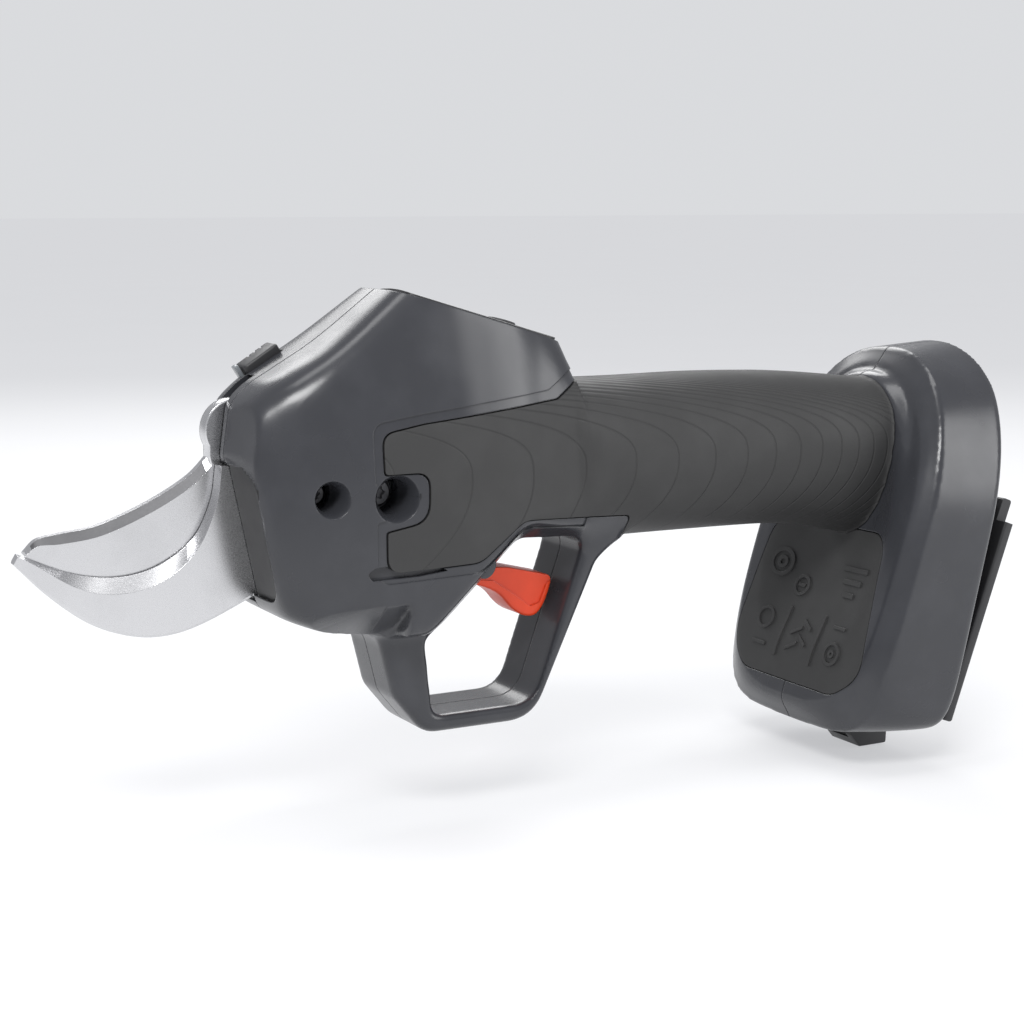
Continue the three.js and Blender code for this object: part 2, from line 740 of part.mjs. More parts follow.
add("bevel_sector", bevelSector(), darkSteel);
const bush = [
  [BOLT_RADIUS + GAP, BLADE_Y[0]],
  [BUSH_RADIUS, BLADE_Y[0]],
  [BUSH_RADIUS, SECTOR_TOP],
  [BOLT_RADIUS + GAP, SECTOR_TOP],
  [BOLT_RADIUS + GAP, BLADE_Y[0]],
];
add("pivot_bush", turnedY(bush, ...PIVOT, 16), brass);
HUB_PINS.forEach((degrees, i) =>
  add("hub_pin_" + (i + 1), barY(...hubPinCentre(degrees), 1, BLADE_Y[0] + 0.2, 10.8, 10), steel),
);

const hexagon = (x, z, across, y0, y1) => barY(x, z, across / Math.sqrt(3), y0, y1, 6);
const boltHead = hexagon(...PIVOT, 11, -4.8, HOOK_Y[0] - GAP);
add("pivot_bolt", union(boltHead, barY(...PIVOT, BOLT_RADIUS, -1, 15, 20)), steel);
const ringY = (radius, hole, y0, y1, segments = 16) =>
  turnedY([[hole, y0], [radius, y0], [radius, y1], [hole, y1], [hole, y0]], ...PIVOT, segments);
add("pivot_washer", ringY(6.2, BOLT_RADIUS + GAP, SECTOR_TOP + GAP, SECTOR_TOP + GAP + 1), steel);
const nutFrom = SECTOR_TOP + 2 * GAP + 1;
add("pivot_nut", hexagon(...PIVOT, 10.4, nutFrom, nutFrom + 2.6).subtract(barY(...PIVOT, 3.8, 0, 30)), steel);

// ---------- screws ----------
function screwY(x, z, headRadius, shankRadius, headY, tipY) {
  const out = Math.sign(headY - tipY);
  return turnedY(
    [
      [0, headY],
      [headRadius * 0.45, headY],
      [headRadius * 0.45, headY - out * 0.1],
      [headRadius, headY - out * 0.1],
      [headRadius, headY - out * 2.4],
      [shankRadius, headY - out * 2.4],
      [shankRadius, tipY],
      [0, tipY],
    ],
    x,
    z,
    12,
  );
}

add("head_screw_front", screwY(...HEAD_SCREWS[0].slice(0, 2), 3, 1.8, -13.2, 3.2), darkSteel);
add("head_screw_rear", screwY(...HEAD_SCREWS[1].slice(0, 2), 3.6, 1.8, -13.2, 12), darkSteel);
SCREWS.forEach(([x, z, out], i) =>
  add("shell_screw_" + (i + 1), screwY(x, z, 2.8, 1.5, out - 2.2, -5.5), darkSteel),
);

// ---------- drive: everything on the motor axis, local X pointing to the rear ----------
const drive = new THREE.Group();
drive.position.set(PIVOT[0], 0, PIVOT[1]);
drive.rotation.y = THREE.MathUtils.degToRad(DRIVE_TILT);
part.add(drive);
drive.updateMatrixWorld(true);

const TOOTH_ROOT = 0.3; // half width of a tooth at its root and its tip, over the tooth pitch
const TOOTH_TIP = 0.13;

function gearPoints(teeth, root, tip, phase, rootShare = TOOTH_ROOT, tipShare = TOOTH_TIP) {
  const pitch = (2 * Math.PI) / teeth;
  return Array.from({ length: teeth }, (_, i) =>
    [
      [-rootShare, root],
      [-tipShare, tip],
      [tipShare, tip],
      [rootShare, root],
    ].map(([share, radius]) => {
      const angle = phase + (i + share) * pitch;
      return new THREE.Vector2(radius * Math.cos(angle), radius * Math.sin(angle));
    }),
  ).flat();
}

// A shape drawn across the motor axis and extruded from x0 to x1 along it. The shape's first axis
// points along local -Z and its second along +Y.
function along(shape, x0, x1, curveSegments = 4) {
  const geometry = new THREE.ExtrudeGeometry(shape, { depth: x1 - x0, bevelEnabled: false, curveSegments });
  geometry.rotateY(Math.PI / 2);
  return solid(geometry.translate(x0, 0, 0));
}

const tubeX = (outer, inner, x0, x1, segments = 20) =>
  turnedX([[x0, inner], [x0, outer], [x1, outer], [x1, inner], [x0, inner]], segments);
const barX = (radius, x0, x1, segments = 16) =>
  turnedX([[x0, 0], [x0, radius], [x1, radius], [x1, 0]], segments);
const orbitAngle = (i) => (2 * Math.PI * i) / 3;
const offAxis = (shape, i) => {
  const angle = orbitAngle(i);
  return shape.translate([0, PLANET_ORBIT * Math.sin(angle), -PLANET_ORBIT * Math.cos(angle)]);
};

const SHAFT_RADIUS = 3;
const CARRIER_X = 44; // front face of the planet carrier
const PLANET_X = [48.6, 57];
const HOUSING_END = 66;
const MOTOR_X = [67.5, 123];

function pinionShaft() {
  const teeth = PINION_TEETH;
  const pitch = (2 * Math.PI) / teeth;
  const valley = Math.PI / 2;
  const ring = (x) =>
    gearPoints(teeth, x * (CONE - ROOT_DEPTH), x * (CONE + TIP_HEIGHT), valley + pitch / 2, 0.3, 0.12).map(
      (point) => new THREE.Vector3(x, point.y, -point.x),
    );
  const cone = loft([ring(BEVEL_INNER + 0.1), ring(BEVEL_OUTER - 0.1)]);
  return union(cone, barX(SHAFT_RADIUS, 10, CARRIER_X - GAP));
}

function planetCarrier() {
  const pins = [0, 1, 2].map((i) => offAxis(barX(1.7, CARRIER_X + 3, PLANET_X[1], 10), i));
  return union(barX(12.4, CARRIER_X, CARRIER_X + 4, 20), ...pins);
}

const SUN_PITCH = (GEAR_MODULE * SUN_TEETH) / 2;
const PLANET_PITCH = (GEAR_MODULE * PLANET_TEETH) / 2;
const RING_PITCH = (GEAR_MODULE * RING_TEETH) / 2;

function toothedWheel(teeth, pitchRadius, phase, bore, x0, x1) {
  const shape = new THREE.Shape(gearPoints(teeth, pitchRadius - 1.2, pitchRadius + 0.8, phase));
  const wheel = along(shape, x0, x1);
  return wheel.subtract(barX(bore, x0 - 1, x1 + 1, 12));
}

function ringGear() {
  const shape = new THREE.Shape();
  shape.absarc(0, 0, 15.4, 0, 2 * Math.PI, false);
  const pitch = (2 * Math.PI) / RING_TEETH;
  const inside = gearPoints(RING_TEETH, RING_PITCH + 1.1, RING_PITCH - 0.7, pitch / 2, 0.27, 0.12);
  shape.holes.push(new THREE.Path(inside));
  return along(shape, PLANET_X[0] - 0.6, PLANET_X[1] + 1, 18);
}

add("pinion_shaft", pinionShaft(), darkSteel, drive);
add("output_bearing_front", tubeX(5.7, SHAFT_RADIUS + GAP, 16, 20.5, 16), steel, drive);
add("output_bearing_rear", tubeX(5.7, SHAFT_RADIUS + GAP, 37.5, 42, 16), steel, drive);
add(
  "gear_housing",
  turnedX([
    [15, 6],
    [15, 7.2],
    [36, 7.2],
    [43, 16.9],
    [HOUSING_END, 16.9],
    [HOUSING_END, 15.7],
    [43.6, 15.7],
    [42.6, 13],
    [42.6, 6],
    [15, 6],
  ]),
  aluminium,
  drive,
);
add("planet_carrier", planetCarrier(), steel, drive);
add("ring_gear", ringGear(), darkSteel, drive);
for (const i of [0, 1, 2]) {
  const phase = orbitAngle(i) + Math.PI + Math.PI / PLANET_TEETH;
  const wheel = toothedWheel(PLANET_TEETH, PLANET_PITCH, phase, 2, ...PLANET_X);
  add("planet_gear_" + (i + 1), offAxis(wheel, i), steel, drive);
}
const sunGear = toothedWheel(SUN_TEETH, SUN_PITCH, 0, 2.05, PLANET_X[0] + 0.4, PLANET_X[1] + 0.6);
add("sun_gear", sunGear, steel, drive);
add("rotor_shaft", barX(1.75, 50, MOTOR_X[1] + 3.4, 12), steel, drive);
add("rotor_magnet", tubeX(7.6, 2.05, 76, 112, 24), magnet, drive);
add("motor_front_cap", tubeX(15.4, 4.9, 61.4, 65.4), aluminium, drive);
add("motor_bearing_front", tubeX(4.6, 2.05, 61.6, 65.2, 16), steel, drive);
add("motor_can", tubeX(MOTOR_RADIUS, 12.2, ...MOTOR_X), darkSteel, drive);
add("stator_core", tubeX(11.9, 8.3, 75, 113, 24), darkSteel, drive);
add("stator_winding_front", tubeX(11.5, 8.6, 70, 74.7, 20), brass, drive);
add("stator_winding_rear", tubeX(11.5, 8.6, 113.3, 118, 20), brass, drive);
add("motor_end_cap", tubeX(MOTOR_RADIUS, 4.9, MOTOR_X[1] + GAP, MOTOR_X[1] + 4), aluminium, drive);
add("motor_bearing_rear", tubeX(4.6, 2.05, MOTOR_X[1] + GAP, MOTOR_X[1] + 3.6, 16), steel, drive);

// ---------- trigger ----------
const TRIGGER_HALF = 5.8;

function trigger() {
  const [px, pz] = TRIGGER_PIVOT;
  const shape = new THREE.Shape();
  shape.absarc(px, pz, 3.2, -Math.PI * 0.15, Math.PI * 1.3, false);
  shape.lineTo(-67.6, -30.6);
  shape.bezierCurveTo(-59.4, -32.4, -55.6, -34, -53, -37.4);
  shape.bezierCurveTo(-50, -41.4, -46, -43, -43.6, -42);
  shape.quadraticCurveTo(-40.8, -40.6, -38.8, -33.6);
  shape.quadraticCurveTo(-38.4, -31.4, -40, -31);
  shape.lineTo(-51.9, -28);
  shape.lineTo(-60.4, -27.2);
  shape.lineTo(-65.7, -26.9);
  shape.closePath();
  const body = plate(shape, -TRIGGER_HALF, TRIGGER_HALF, 0.9, 4);
  return body.subtract(barY(px, pz, 1.8, -10, 10, 12));
}

add("trigger", trigger(), orange);
add("trigger_pin", barY(...TRIGGER_PIVOT, 1.5, -9.4, 9.4, 12), steel);
add("trigger_switch", box(-71, -58.6, -5.6, 5.6, -16.6, -12.7), black);

function coilSpring(x, z0, z1, radius, wire, turns) {
  class Helix extends THREE.Curve {
    getPoint(t, target = new THREE.Vector3()) {
      const angle = 2 * Math.PI * turns * t;
      return target.set(x + radius * Math.cos(angle), radius * Math.sin(angle), z0 + (z1 - z0) * t);
    }
  }
  const section = new THREE.Shape();
  section.absarc(0, 0, wire, 0, 2 * Math.PI, false);
  const options = { steps: turns * 8, extrudePath: new Helix(), bevelEnabled: false, curveSegments: 3 };
  return solid(new THREE.ExtrudeGeometry(section, options));
}

add("trigger_spring", coilSpring(-62.4, -26.1, -17.4, 2, 0.35, 4), steel);

// ---------- electronics ----------
add("control_board", box(14, 56, -13, 13, -4.4, -2.8), circuit);
const standing = (x, y, radius, z0, z1) => {
  const geometry = new THREE.CylinderGeometry(radius, radius, z1 - z0, 16);
  geometry.rotateX(Math.PI / 2);
  return solid(geometry.translate(x, y, (z0 + z1) / 2));
};
add("capacitor", standing(47, 0, 5.5, -2.5, 10.5), black);

// A wire along a smooth curve through the points.
function wire(points, radius) {
  const path = new THREE.CatmullRomCurve3(points.map((point) => new THREE.Vector3(...point)));
  const section = new THREE.Shape();
  section.absarc(0, 0, radius, 0, 2 * Math.PI, false);
  return solid(
    new THREE.ExtrudeGeometry(section, {
      steps: 10,
      extrudePath: path,
      bevelEnabled: false,
      curveSegments: 3,
    }),
  );
}

const leadRoute = (y) => [
  [56.5, y, -4],
  [66, y, -8],
  [74.5, y, -24],
  [77.6, y, -38],
  [77, y, -46.2],
];
add("battery_lead_positive", wire(leadRoute(-8), 1.4), red);
add("battery_lead_negative", wire(leadRoute(8), 1.4), black);

// ---------- battery rail and contacts ----------
const RAIL_THICKNESS = 3.5;
const BLOCK_HALF = 25;
const CONTACT_Y = [-13, -5, 5, 13];

function batteryRail() {
  const face = railBox(-RAIL_HALF, RAIL_HALF, 0, RAIL_LENGTH, -RAIL_THICKNESS, 0);
  const block = railBox(-BLOCK_HALF, BLOCK_HALF, 2, 66, -15.7, -1);
  const bay = railBox(-18, 18, 7, 28, -12, 5);
  const notch = railBox(-8, 8, 52, 60, -4, 5);
  const slots = CONTACT_Y.map((y) => railBox(y - 0.8, y + 0.8, 9.5, 25.5, -20, 5));
  const guides = [-1, 1].map((side) =>
    railBox(...[side * 27, side * 40].sort((a, b) => a - b), 62, 80, -10, 5),
  );
  return cut(union(face, block), bay, notch, ...slots, ...guides);
}

add("battery_rail", batteryRail(), darkPlastic);
add("terminal_block", railBox(-17, 17, 8, 30, -22, -16.3), black);
CONTACT_Y.forEach((y, i) => {
  const blade = railBox(y - 0.4, y + 0.4, 10.5, 24.5, -16, -4.5);
  add("contact_blade_" + (i + 1), blade, brass);
});
add("foot_stop", box(66, 80, -7, 7, -94.5, -84.4), darkPlastic);

// ---------- placing: bottom centre of the whole tool at the origin ----------
part.updateMatrixWorld(true);
const bounds = new THREE.Box3().setFromObject(part);
part.position.set(-(bounds.min.x + bounds.max.x) / 2, 0, -bounds.min.z);

export default part;
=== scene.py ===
"""Looks of the battery electric pruner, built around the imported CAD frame."""

import json
import math

import bmesh
import bpy
import numpy as np
import openvdb
from mathutils import Matrix, Vector

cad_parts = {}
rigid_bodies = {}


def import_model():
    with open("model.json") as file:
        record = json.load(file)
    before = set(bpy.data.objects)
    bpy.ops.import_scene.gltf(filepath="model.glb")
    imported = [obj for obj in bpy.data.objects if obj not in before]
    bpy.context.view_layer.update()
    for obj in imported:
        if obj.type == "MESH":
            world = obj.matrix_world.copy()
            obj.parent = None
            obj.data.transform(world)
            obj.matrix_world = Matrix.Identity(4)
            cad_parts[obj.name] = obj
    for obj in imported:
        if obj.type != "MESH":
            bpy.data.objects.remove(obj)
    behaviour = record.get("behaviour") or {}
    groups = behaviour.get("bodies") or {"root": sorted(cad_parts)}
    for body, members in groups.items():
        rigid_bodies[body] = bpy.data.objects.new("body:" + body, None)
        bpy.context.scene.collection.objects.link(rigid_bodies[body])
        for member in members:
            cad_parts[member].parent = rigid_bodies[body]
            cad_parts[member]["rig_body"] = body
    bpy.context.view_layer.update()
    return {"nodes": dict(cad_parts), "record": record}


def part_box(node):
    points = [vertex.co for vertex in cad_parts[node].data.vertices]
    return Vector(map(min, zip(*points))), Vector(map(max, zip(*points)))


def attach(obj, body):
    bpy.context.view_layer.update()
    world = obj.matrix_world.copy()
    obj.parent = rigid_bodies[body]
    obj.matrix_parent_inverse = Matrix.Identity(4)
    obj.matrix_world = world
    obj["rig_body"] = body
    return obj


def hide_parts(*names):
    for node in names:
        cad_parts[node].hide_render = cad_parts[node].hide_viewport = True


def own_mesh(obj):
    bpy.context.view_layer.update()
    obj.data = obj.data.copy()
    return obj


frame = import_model()
scene = bpy.context.scene

# Lengths are in millimetres in a design frame: the handle's axis is z = 0 and the shells part at y = 0.
MM = 0.001
STOP_CORNER = (66, -94.5)
STOP_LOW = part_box("foot_stop")[0]
ORIGIN = np.array([STOP_LOW.x / MM - STOP_CORNER[0], 0, STOP_LOW.z / MM - STOP_CORNER[1]])

# ---------------------------------------------------------------- dimensions
# x, height above the axis, depth below it, half width, lean support, corner power
BODY = [
    (-132.2, 7, 20, 14.6, 15.5, 6),
    (-129.8, 19, 27, 18.8, 21, 6),
    (-125.4, 24.3, 31.5, 21.8, 24, 6),
    (-118, 28.8, 35.6, 24.4, 26.6, 7.5),
    (-108, 34.6, 38.7, 25.7, 28.1, 9),
    (-87.4, 49.6, 41, 26, 28.4, 10),
    (-76, 58, 39.5, 25.8, 28, 10),
    (-66, 58, 32.6, 25.1, 27.1, 9),
    (-57, 56, 26.4, 24.1, 26.1, 7.5),
    (-48, 50, 23.2, 22.8, 24.8, 5),
    (-41, 42, 22.4, 21.8, 24.4, 4),
    (-37.4, 33.4, 22.3, 21.3, 26, 3.4),
    (-33.4, 22.8, 22.3, 20.9, 60, 2.6),
    (-20, 22.7, 22.3, 20.2, 400, 2.2),
    (5, 22.9, 22.5, 19.8, 400, 2.1),
    (30, 22.3, 22.9, 19.6, 400, 2.1),
    (46, 21.2, 24.2, 19.5, 400, 2.1),
    (58, 20, 26.8, 19.6, 400, 2.1),
    (74, 18.4, 29.4, 19.6, 400, 2.1),
]
LEAN = math.radians(16)  # the head's sides also lean on a plane turned by this much
NO_LEAN = 1e6
# centre x, centre z, tilt, height, depth, half width, power above and below the centre
FOOT = [
    (68, -4.8, 7.5, 24.2, 24.2, 19.8, 2.2, 2.2),
    (63.6, -18.4, 18.3, 41, 48.5, 29, 2.25, 2.8),
    (61.8, -24.4, 18.3, 47.6, 54.4, 33.4, 2.35, 3.2),
    (65.6, -25, 16.7, 54.4, 61.6, 38.6, 2.35, 5),
    (88.4, -25, 13.4, 55, 60.8, 38.9, 2.2, 10),
    (91.4, -25, 13.4, 53.4, 59, 37.2, 2.2, 10),
    (93, -25, 13.4, 50, 55.5, 33.6, 2.2, 10),
]
CREASE = 3  # the foot's row where the flare meets the sides in a crease
GUARD_HALF = 12
GUARD_ROUNDING = 3
PANEL_FRONT = np.array([-86.4, 47.6])
PANEL_REAR = np.array([-37.4, 32.9])
PANEL_TILT = math.atan2(PANEL_FRONT[1] - PANEL_REAR[1], PANEL_REAR[0] - PANEL_FRONT[0])
PANEL_LENGTH = math.hypot(*(PANEL_REAR - PANEL_FRONT))
PIVOT = (-120, 10.5)
HOOK_Y = (-0.6, 3.5)
BLADE_Y = (3.8, 8.2)
SLOT_Y = (3.4, 8.6)
SHOULDER = (-127.3, 12.9, 9)
TRIGGER_PIVOT = (-68.5, -23.4)
FOOT_TILT = math.radians(20)
LIGHT_TILT = math.radians(32.6)
RAIL_CORNER = (84.8, -83.2)
PAD_CORNER = (48.4, -71.4)
HEAD_SCREWS = [(-112.4, -2.4, 3.6), (-94.6, -3.3, 4.7)]
SCREWS = [(-97, 27, 20), (-85.4, -54, 9), (60.5, -73, 16), (87, 12, 16)]
GAP = 0.3
SPLIT = 0.15
VOXEL = 0.8
REACH = 6.4  # distances are known this far from a surface
WALL_STEP = 1.1  # the front wall lies this far behind the rim
SEAM_DEPTH = 1
TOUCH = 0.02  # the shells part by twice this below the seam's groove

# Outlines seen from the side, as across and up, with the radius of a rounded corner.
GUARD = [(-97, -30), (-93.6, -42), (-89.4, -59, 7), (-80.5, -70, 8), (-47.1, -70, 12)]
GUARD += [(-27.2, -27.6, 7), (-20, -21.6), (-20, -8), (-97, -8)]
FINGER_OPENING = [(-53, -18.9, 6), (-80.4, -44.4, 4), (-78.3, -65.2, 4), (-47.2, -65.2, 9), (-31, -19.8, 5)]


def grip_corners(m):
    """The soft grip's outline, larger by m."""
    top = [(-43.6 - m, 18.6 + m, 2), (-36.6 - m, 22.8 + m, 1), (-32.4 - m, 24 + m)]
    top += [(-32.4 - m, 45), (80, 45)]
    under = [(80, -45), (-19.5 - m, -45), (-19.5 - m, -14.4 - m, 2), (-57 + m / 2, -12 - m, 8)]
    under += [(-71 + m / 2, -21.7 - m, 8), (-97.6 - m, -22.4 - m, 4)]
    front = [(-97.6 - m, -12 + m, 1), (-85.6 - m, -10 + m, 6), (-85.2 - m, 2.8 - m, 4)]
    front += [(-97.8 - m, 2.8 - m, 1), (-97.8 - m, 12.8 + m, 4), (-86, 14.8 + m, 8)]
    return top + under + front


def pad_corners(m):
    """The foot pad's outline across and along its slope, larger by m."""
    upper = [(-31.5 - m, 5.5, 12), (-26 - m, 48 + m, 10), (26 + m, 48 + m, 10), (31.5 + m, 5.5, 12)]
    return upper + [(22, -1.5 - m, 10), (-22, -1.5 - m, 10)]


# ---------------------------------------------------------------- meshes
def make(name, points, faces):
    mesh = bpy.data.meshes.new(name)
    mesh.from_pydata(((np.asarray(points, float) + ORIGIN) * MM).tolist(), [], [list(f) for f in faces])
    obj = bpy.data.objects.new(name, mesh)
    scene.collection.objects.link(obj)
    return obj


def outward(obj):
    work = bmesh.new()
    work.from_mesh(obj.data)
    bmesh.ops.recalc_face_normals(work, faces=work.faces)
    work.to_mesh(obj.data)
    work.free()
    return obj


def remove(obj):
    mesh = obj.data
    bpy.data.objects.remove(obj)
    bpy.data.meshes.remove(mesh)


def copy(obj):
    twin = bpy.data.objects.new("copy", obj.data.copy())
    scene.collection.objects.link(twin)
    return twin


def bake(obj):
    """Applies the modifiers."""
    graph = bpy.context.evaluated_depsgraph_get()
    mesh = bpy.data.meshes.new_from_object(obj.evaluated_get(graph))
    obj.modifiers.clear()
    old = obj.data
    obj.data = mesh
    bpy.data.meshes.remove(old)
    return obj


def boolean(obj, tool, operation, keep=False):
    modifier = obj.modifiers.new("join", "BOOLEAN")
    modifier.object = tool
    modifier.operation = operation
    modifier.solver = "MANIFOLD"
    bake(obj)
    if not keep:
        remove(tool)
    return obj


def join(obj, *tools):
    for tool in tools:
        boolean(obj, tool, "UNION")
    return obj


def cut(obj, *tools):
    for tool in tools:
        boolean(obj, tool, "DIFFERENCE")
    return obj


def common(obj, tool, keep=False):
    return boolean(obj, tool, "INTERSECT", keep)


def soften(obj, width, segments=2):
    """Rounds the sharp edges."""
    modifier = obj.modifiers.new("edges", "BEVEL")
    modifier.width = width * MM
    modifier.segments = segments
    modifier.limit_method = "ANGLE"
    modifier.angle_limit = math.radians(35)
    modifier.use_clamp_overlap = True
    return bake(obj)


def rounded(corners, steps=7):
    """Outline through corner points (a, b) or (a, b, radius)."""
    points, count = [], len(corners)
    for i, corner in enumerate(corners):
        here = np.array(corner[:2], float)
        radius = corner[2] if len(corner) > 2 else 0
        if not radius:
            points.append(here)
            continue
        before = np.array(corners[i - 1][:2], float) - here
        after = np.array(corners[(i + 1) % count][:2], float) - here
        before /= np.hypot(*before)
        after /= np.hypot(*after)
        half = math.acos(np.clip(before @ after, -1, 1)) / 2
        reach = radius / math.tan(half)
        start, end = here + before * reach, here + after * reach
        for t in np.linspace(0, 1, steps):
            points.append((1 - t) ** 2 * start + 2 * t * (1 - t) * here + t * t * end)
    return np.array(points)


def prism(outline, y0, y1, place=None, name="tool"):
    """Solid of an outline (x, z), or of any plane if place maps (a, b, height) to the design frame."""
    place = place or (lambda a, b, h: (a, h, b))
    outline = np.asarray(outline, float)
    count = len(outline)
    points = [place(a, b, h) for h in (y0, y1) for a, b in outline]
    faces = [range(count), range(2 * count - 1, count - 1, -1)]
    faces += [(i, (i + 1) % count, (i + 1) % count + count, i + count) for i in range(count)]
    return outward(make(name, points, faces))


def block(x0, x1, y0, y1, z0, z1, place=None):
    return prism([(x0, z0), (x1, z0), (x1, z1), (x0, z1)], y0, y1, place)


def lathe(profile, place, segments=48, name="tool"):
    """Solid of revolution of closed profile points (radius, height); place maps (a, b, height)."""
    points, faces, rows = [], [], []
    for radius, height in profile:
        if radius < 1e-6:
            rows.append([len(points)] * segments)
            points.append(place(0, 0, height))
            continue
        rows.append([len(points) + i for i in range(segments)])
        for i in range(segments):
            turn = 2 * math.pi * i / segments
            points.append(place(radius * math.cos(turn), radius * math.sin(turn), height))
    closed = profile[0][0] > 1e-6 or profile[-1][0] > 1e-6
    pairs = list(zip(rows, rows[1:])) + ([(rows[-1], rows[0])] if closed else [])
    for low, high in pairs:
        for i in range(segments):
            j = (i + 1) % segments
            face = [low[i], low[j], high[j], high[i]]
            face = [v for k, v in enumerate(face) if v not in face[:k]]
            if len(face) > 2:
                faces.append(face)
    return outward(make(name, points, faces))


def either(side, near, far):
    """From near to far, on the left for -1 and on the right for 1."""
    return sorted((side * near, side * far))


def half(obj, side, gap, name):
    """What lies on one side of the middle plane."""
    obj.name = name
    return common(obj, block(-200, 200, *either(side, gap, 80), -150, 100))


def along_y(x, z):
    return lambda a, b, h: (x + a, h, z + b)


def barrel(x, z, radius, y0, y1, segments=48, name="tool"):
    return lathe([(0, y0), (radius, y0), (radius, y1), (0, y1)], along_y(x, z), segments, name)


def on_slope(corner):
    """Coordinates across, along and out of a face of the foot, which leans back."""
    sine, cosine = math.sin(FOOT_TILT), math.cos(FOOT_TILT)
    return lambda a, b, h: (corner[0] + b * sine + h * cosine, a, corner[1] + b * cosine - h * sine)


def on_panel(a, b, h):
    """Coordinates along, across and above the top panel."""
    sine, cosine = math.sin(PANEL_TILT), math.cos(PANEL_TILT)
    return (PANEL_FRONT[0] + a * cosine + h * sine, b, PANEL_FRONT[1] - a * sine + h * cosine)


def on_light(a, b, h):
    """Coordinates along, across and above the work light on the front slope."""
    sine, cosine = math.sin(LIGHT_TILT), math.cos(LIGHT_TILT)
    return (-117 + a * cosine - h * sine, 12.8 + b, 29 + a * sine + h * cosine)


# ---------------------------------------------------------------- distance fields
def monotone(rows, at):
    """Smooth curve through the rows without overshoot; the first column is the parameter."""
    rows = np.array(rows, float)
    t, v = rows[:, 0], rows[:, 1:]
    h = np.diff(t)[:, None]
    d = np.diff(v, axis=0) / h
    slope = np.zeros_like(v)
    w1, w2 = 2 * h[1:] + h[:-1], h[1:] + 2 * h[:-1]
    same = d[:-1] * d[1:] > 0
    with np.errstate(divide="ignore", invalid="ignore"):
        slope[1:-1] = np.where(same, (w1 + w2) / (w1 / d[:-1] + w2 / d[1:]), 0)
    slope[0], slope[-1] = d[0], d[-1]
    i = np.clip(np.searchsorted(t, at) - 1, 0, len(t) - 2)
    s = ((at - t[i]) / (t[i + 1] - t[i]))[:, None]
    step = h[i]
    return (
        (1 + 2 * s) * (1 - s) ** 2 * v[i]
        + s * (1 - s) ** 2 * step * slope[i]
        + s * s * (3 - 2 * s) * v[i + 1]
        + s * s * (s - 1) * step * slope[i + 1]
    )


def section(angle, top, bottom, side, lean, power):
    y, z = np.abs(np.cos(angle)), np.sin(angle)
    reach = [
        y / side,
        np.maximum(z, 0) / top,
        np.maximum(-z, 0) / bottom,
        np.maximum(y * math.cos(LEAN) + z * math.sin(LEAN), 0) / lean,
    ]
    return sum(r**power for r in reach) ** (-1 / power)


ANGLES = np.linspace(0, 2 * math.pi, 240, endpoint=False)


def body_rings(rows):
    x = np.linspace(rows[0][0], rows[-1][0], 260)
    rings = []
    for at, row in zip(x, monotone(rows, x)):
        radius = section(ANGLES, *row)
        y, z = radius * np.cos(ANGLES), radius * np.sin(ANGLES)
        rings.append(np.stack([np.full_like(y, at), y, z], 1))
    return np.array(rings)


def foot_rings():
    rows = [(i, *row) for i, row in enumerate(FOOT)]
    low, high = np.linspace(0, CREASE, 90), np.linspace(CREASE, len(FOOT) - 1, 60)[1:]
    values = np.concatenate([monotone(rows[: CREASE + 1], low), monotone(rows[CREASE:], high)])
    rings = []
    for x, z, tilt, up, down, side, power_up, power_down in values:
        power = np.where(np.sin(ANGLES) > 0, power_up, power_down)
        radius = section(ANGLES, up, down, side, NO_LEAN, power)
        height, lean = radius * np.sin(ANGLES), math.radians(tilt)
        x, y, z = x + height * math.sin(lean), radius * np.cos(ANGLES), z + height * math.cos(lean)
        rings.append(np.stack([x, y, z], 1))
    return np.array(rings)


LOW = np.array([-140, -44, -92], float)  # corner of the grid; y = 0 is a plane of it
SHAPE = tuple(int(n) for n in np.round(np.array([240, 88, 156]) / VOXEL).astype(int) + 1)
GRID = [LOW[k] + VOXEL * np.arange(SHAPE[k]) for k in range(3)]


def ring_field(rings):
    """Distance to the closed surface through the rings."""
    count, around = rings.shape[:2]
    points = np.concatenate([rings.reshape(-1, 3), [rings[0].mean(0)], [rings[-1].mean(0)]])
    i, j = np.meshgrid(np.arange(count - 1), np.arange(around), indexing="ij")
    a, b = (i * around + j).ravel(), (i * around + (j + 1) % around).ravel()
    quads = np.stack([a, b, b + around, a + around], 1)
    k = np.arange(around)
    last = (count - 1) * around
    caps = np.concatenate(
        [
            np.stack([np.full(around, count * around), (k + 1) % around, k], 1),
            np.stack([np.full(around, count * around + 1), last + k, last + (k + 1) % around], 1),
        ]
    )
    grid = openvdb.FloatGrid.createLevelSetFromPolygons(
        ((points - LOW) / VOXEL).astype(np.float32),
        triangles=caps.astype(np.uint32),
        quads=quads.astype(np.uint32),
        halfWidth=REACH / VOXEL,
    )
    field = np.zeros(SHAPE, np.float32)
    grid.copyToArray(field)
    return field * VOXEL


def polygon_distance(outline, a, b):
    """Signed distance to an outline, on the plane grid a by b."""
    outline = np.asarray(outline, float)
    x, z = np.meshgrid(a, b, indexing="ij")
    best = np.full(x.shape, 1e9)
    inside = np.zeros(x.shape, bool)
    for (x0, z0), (x1, z1) in zip(outline, np.roll(outline, -1, 0)):
        dx, dz = x1 - x0, z1 - z0
        length = dx * dx + dz * dz
        if length < 1e-12:
            continue
        t = np.clip(((x - x0) * dx + (z - z0) * dz) / length, 0, 1)
        best = np.minimum(best, np.hypot(x - x0 - t * dx, z - z0 - t * dz))
        crosses = (z0 > z) != (z1 > z)
        with np.errstate(divide="ignore", invalid="ignore"):
            inside ^= crosses & (x < x0 + (z - z0) * dx / (dz if dz else 1))
    return np.where(inside, -best, best)


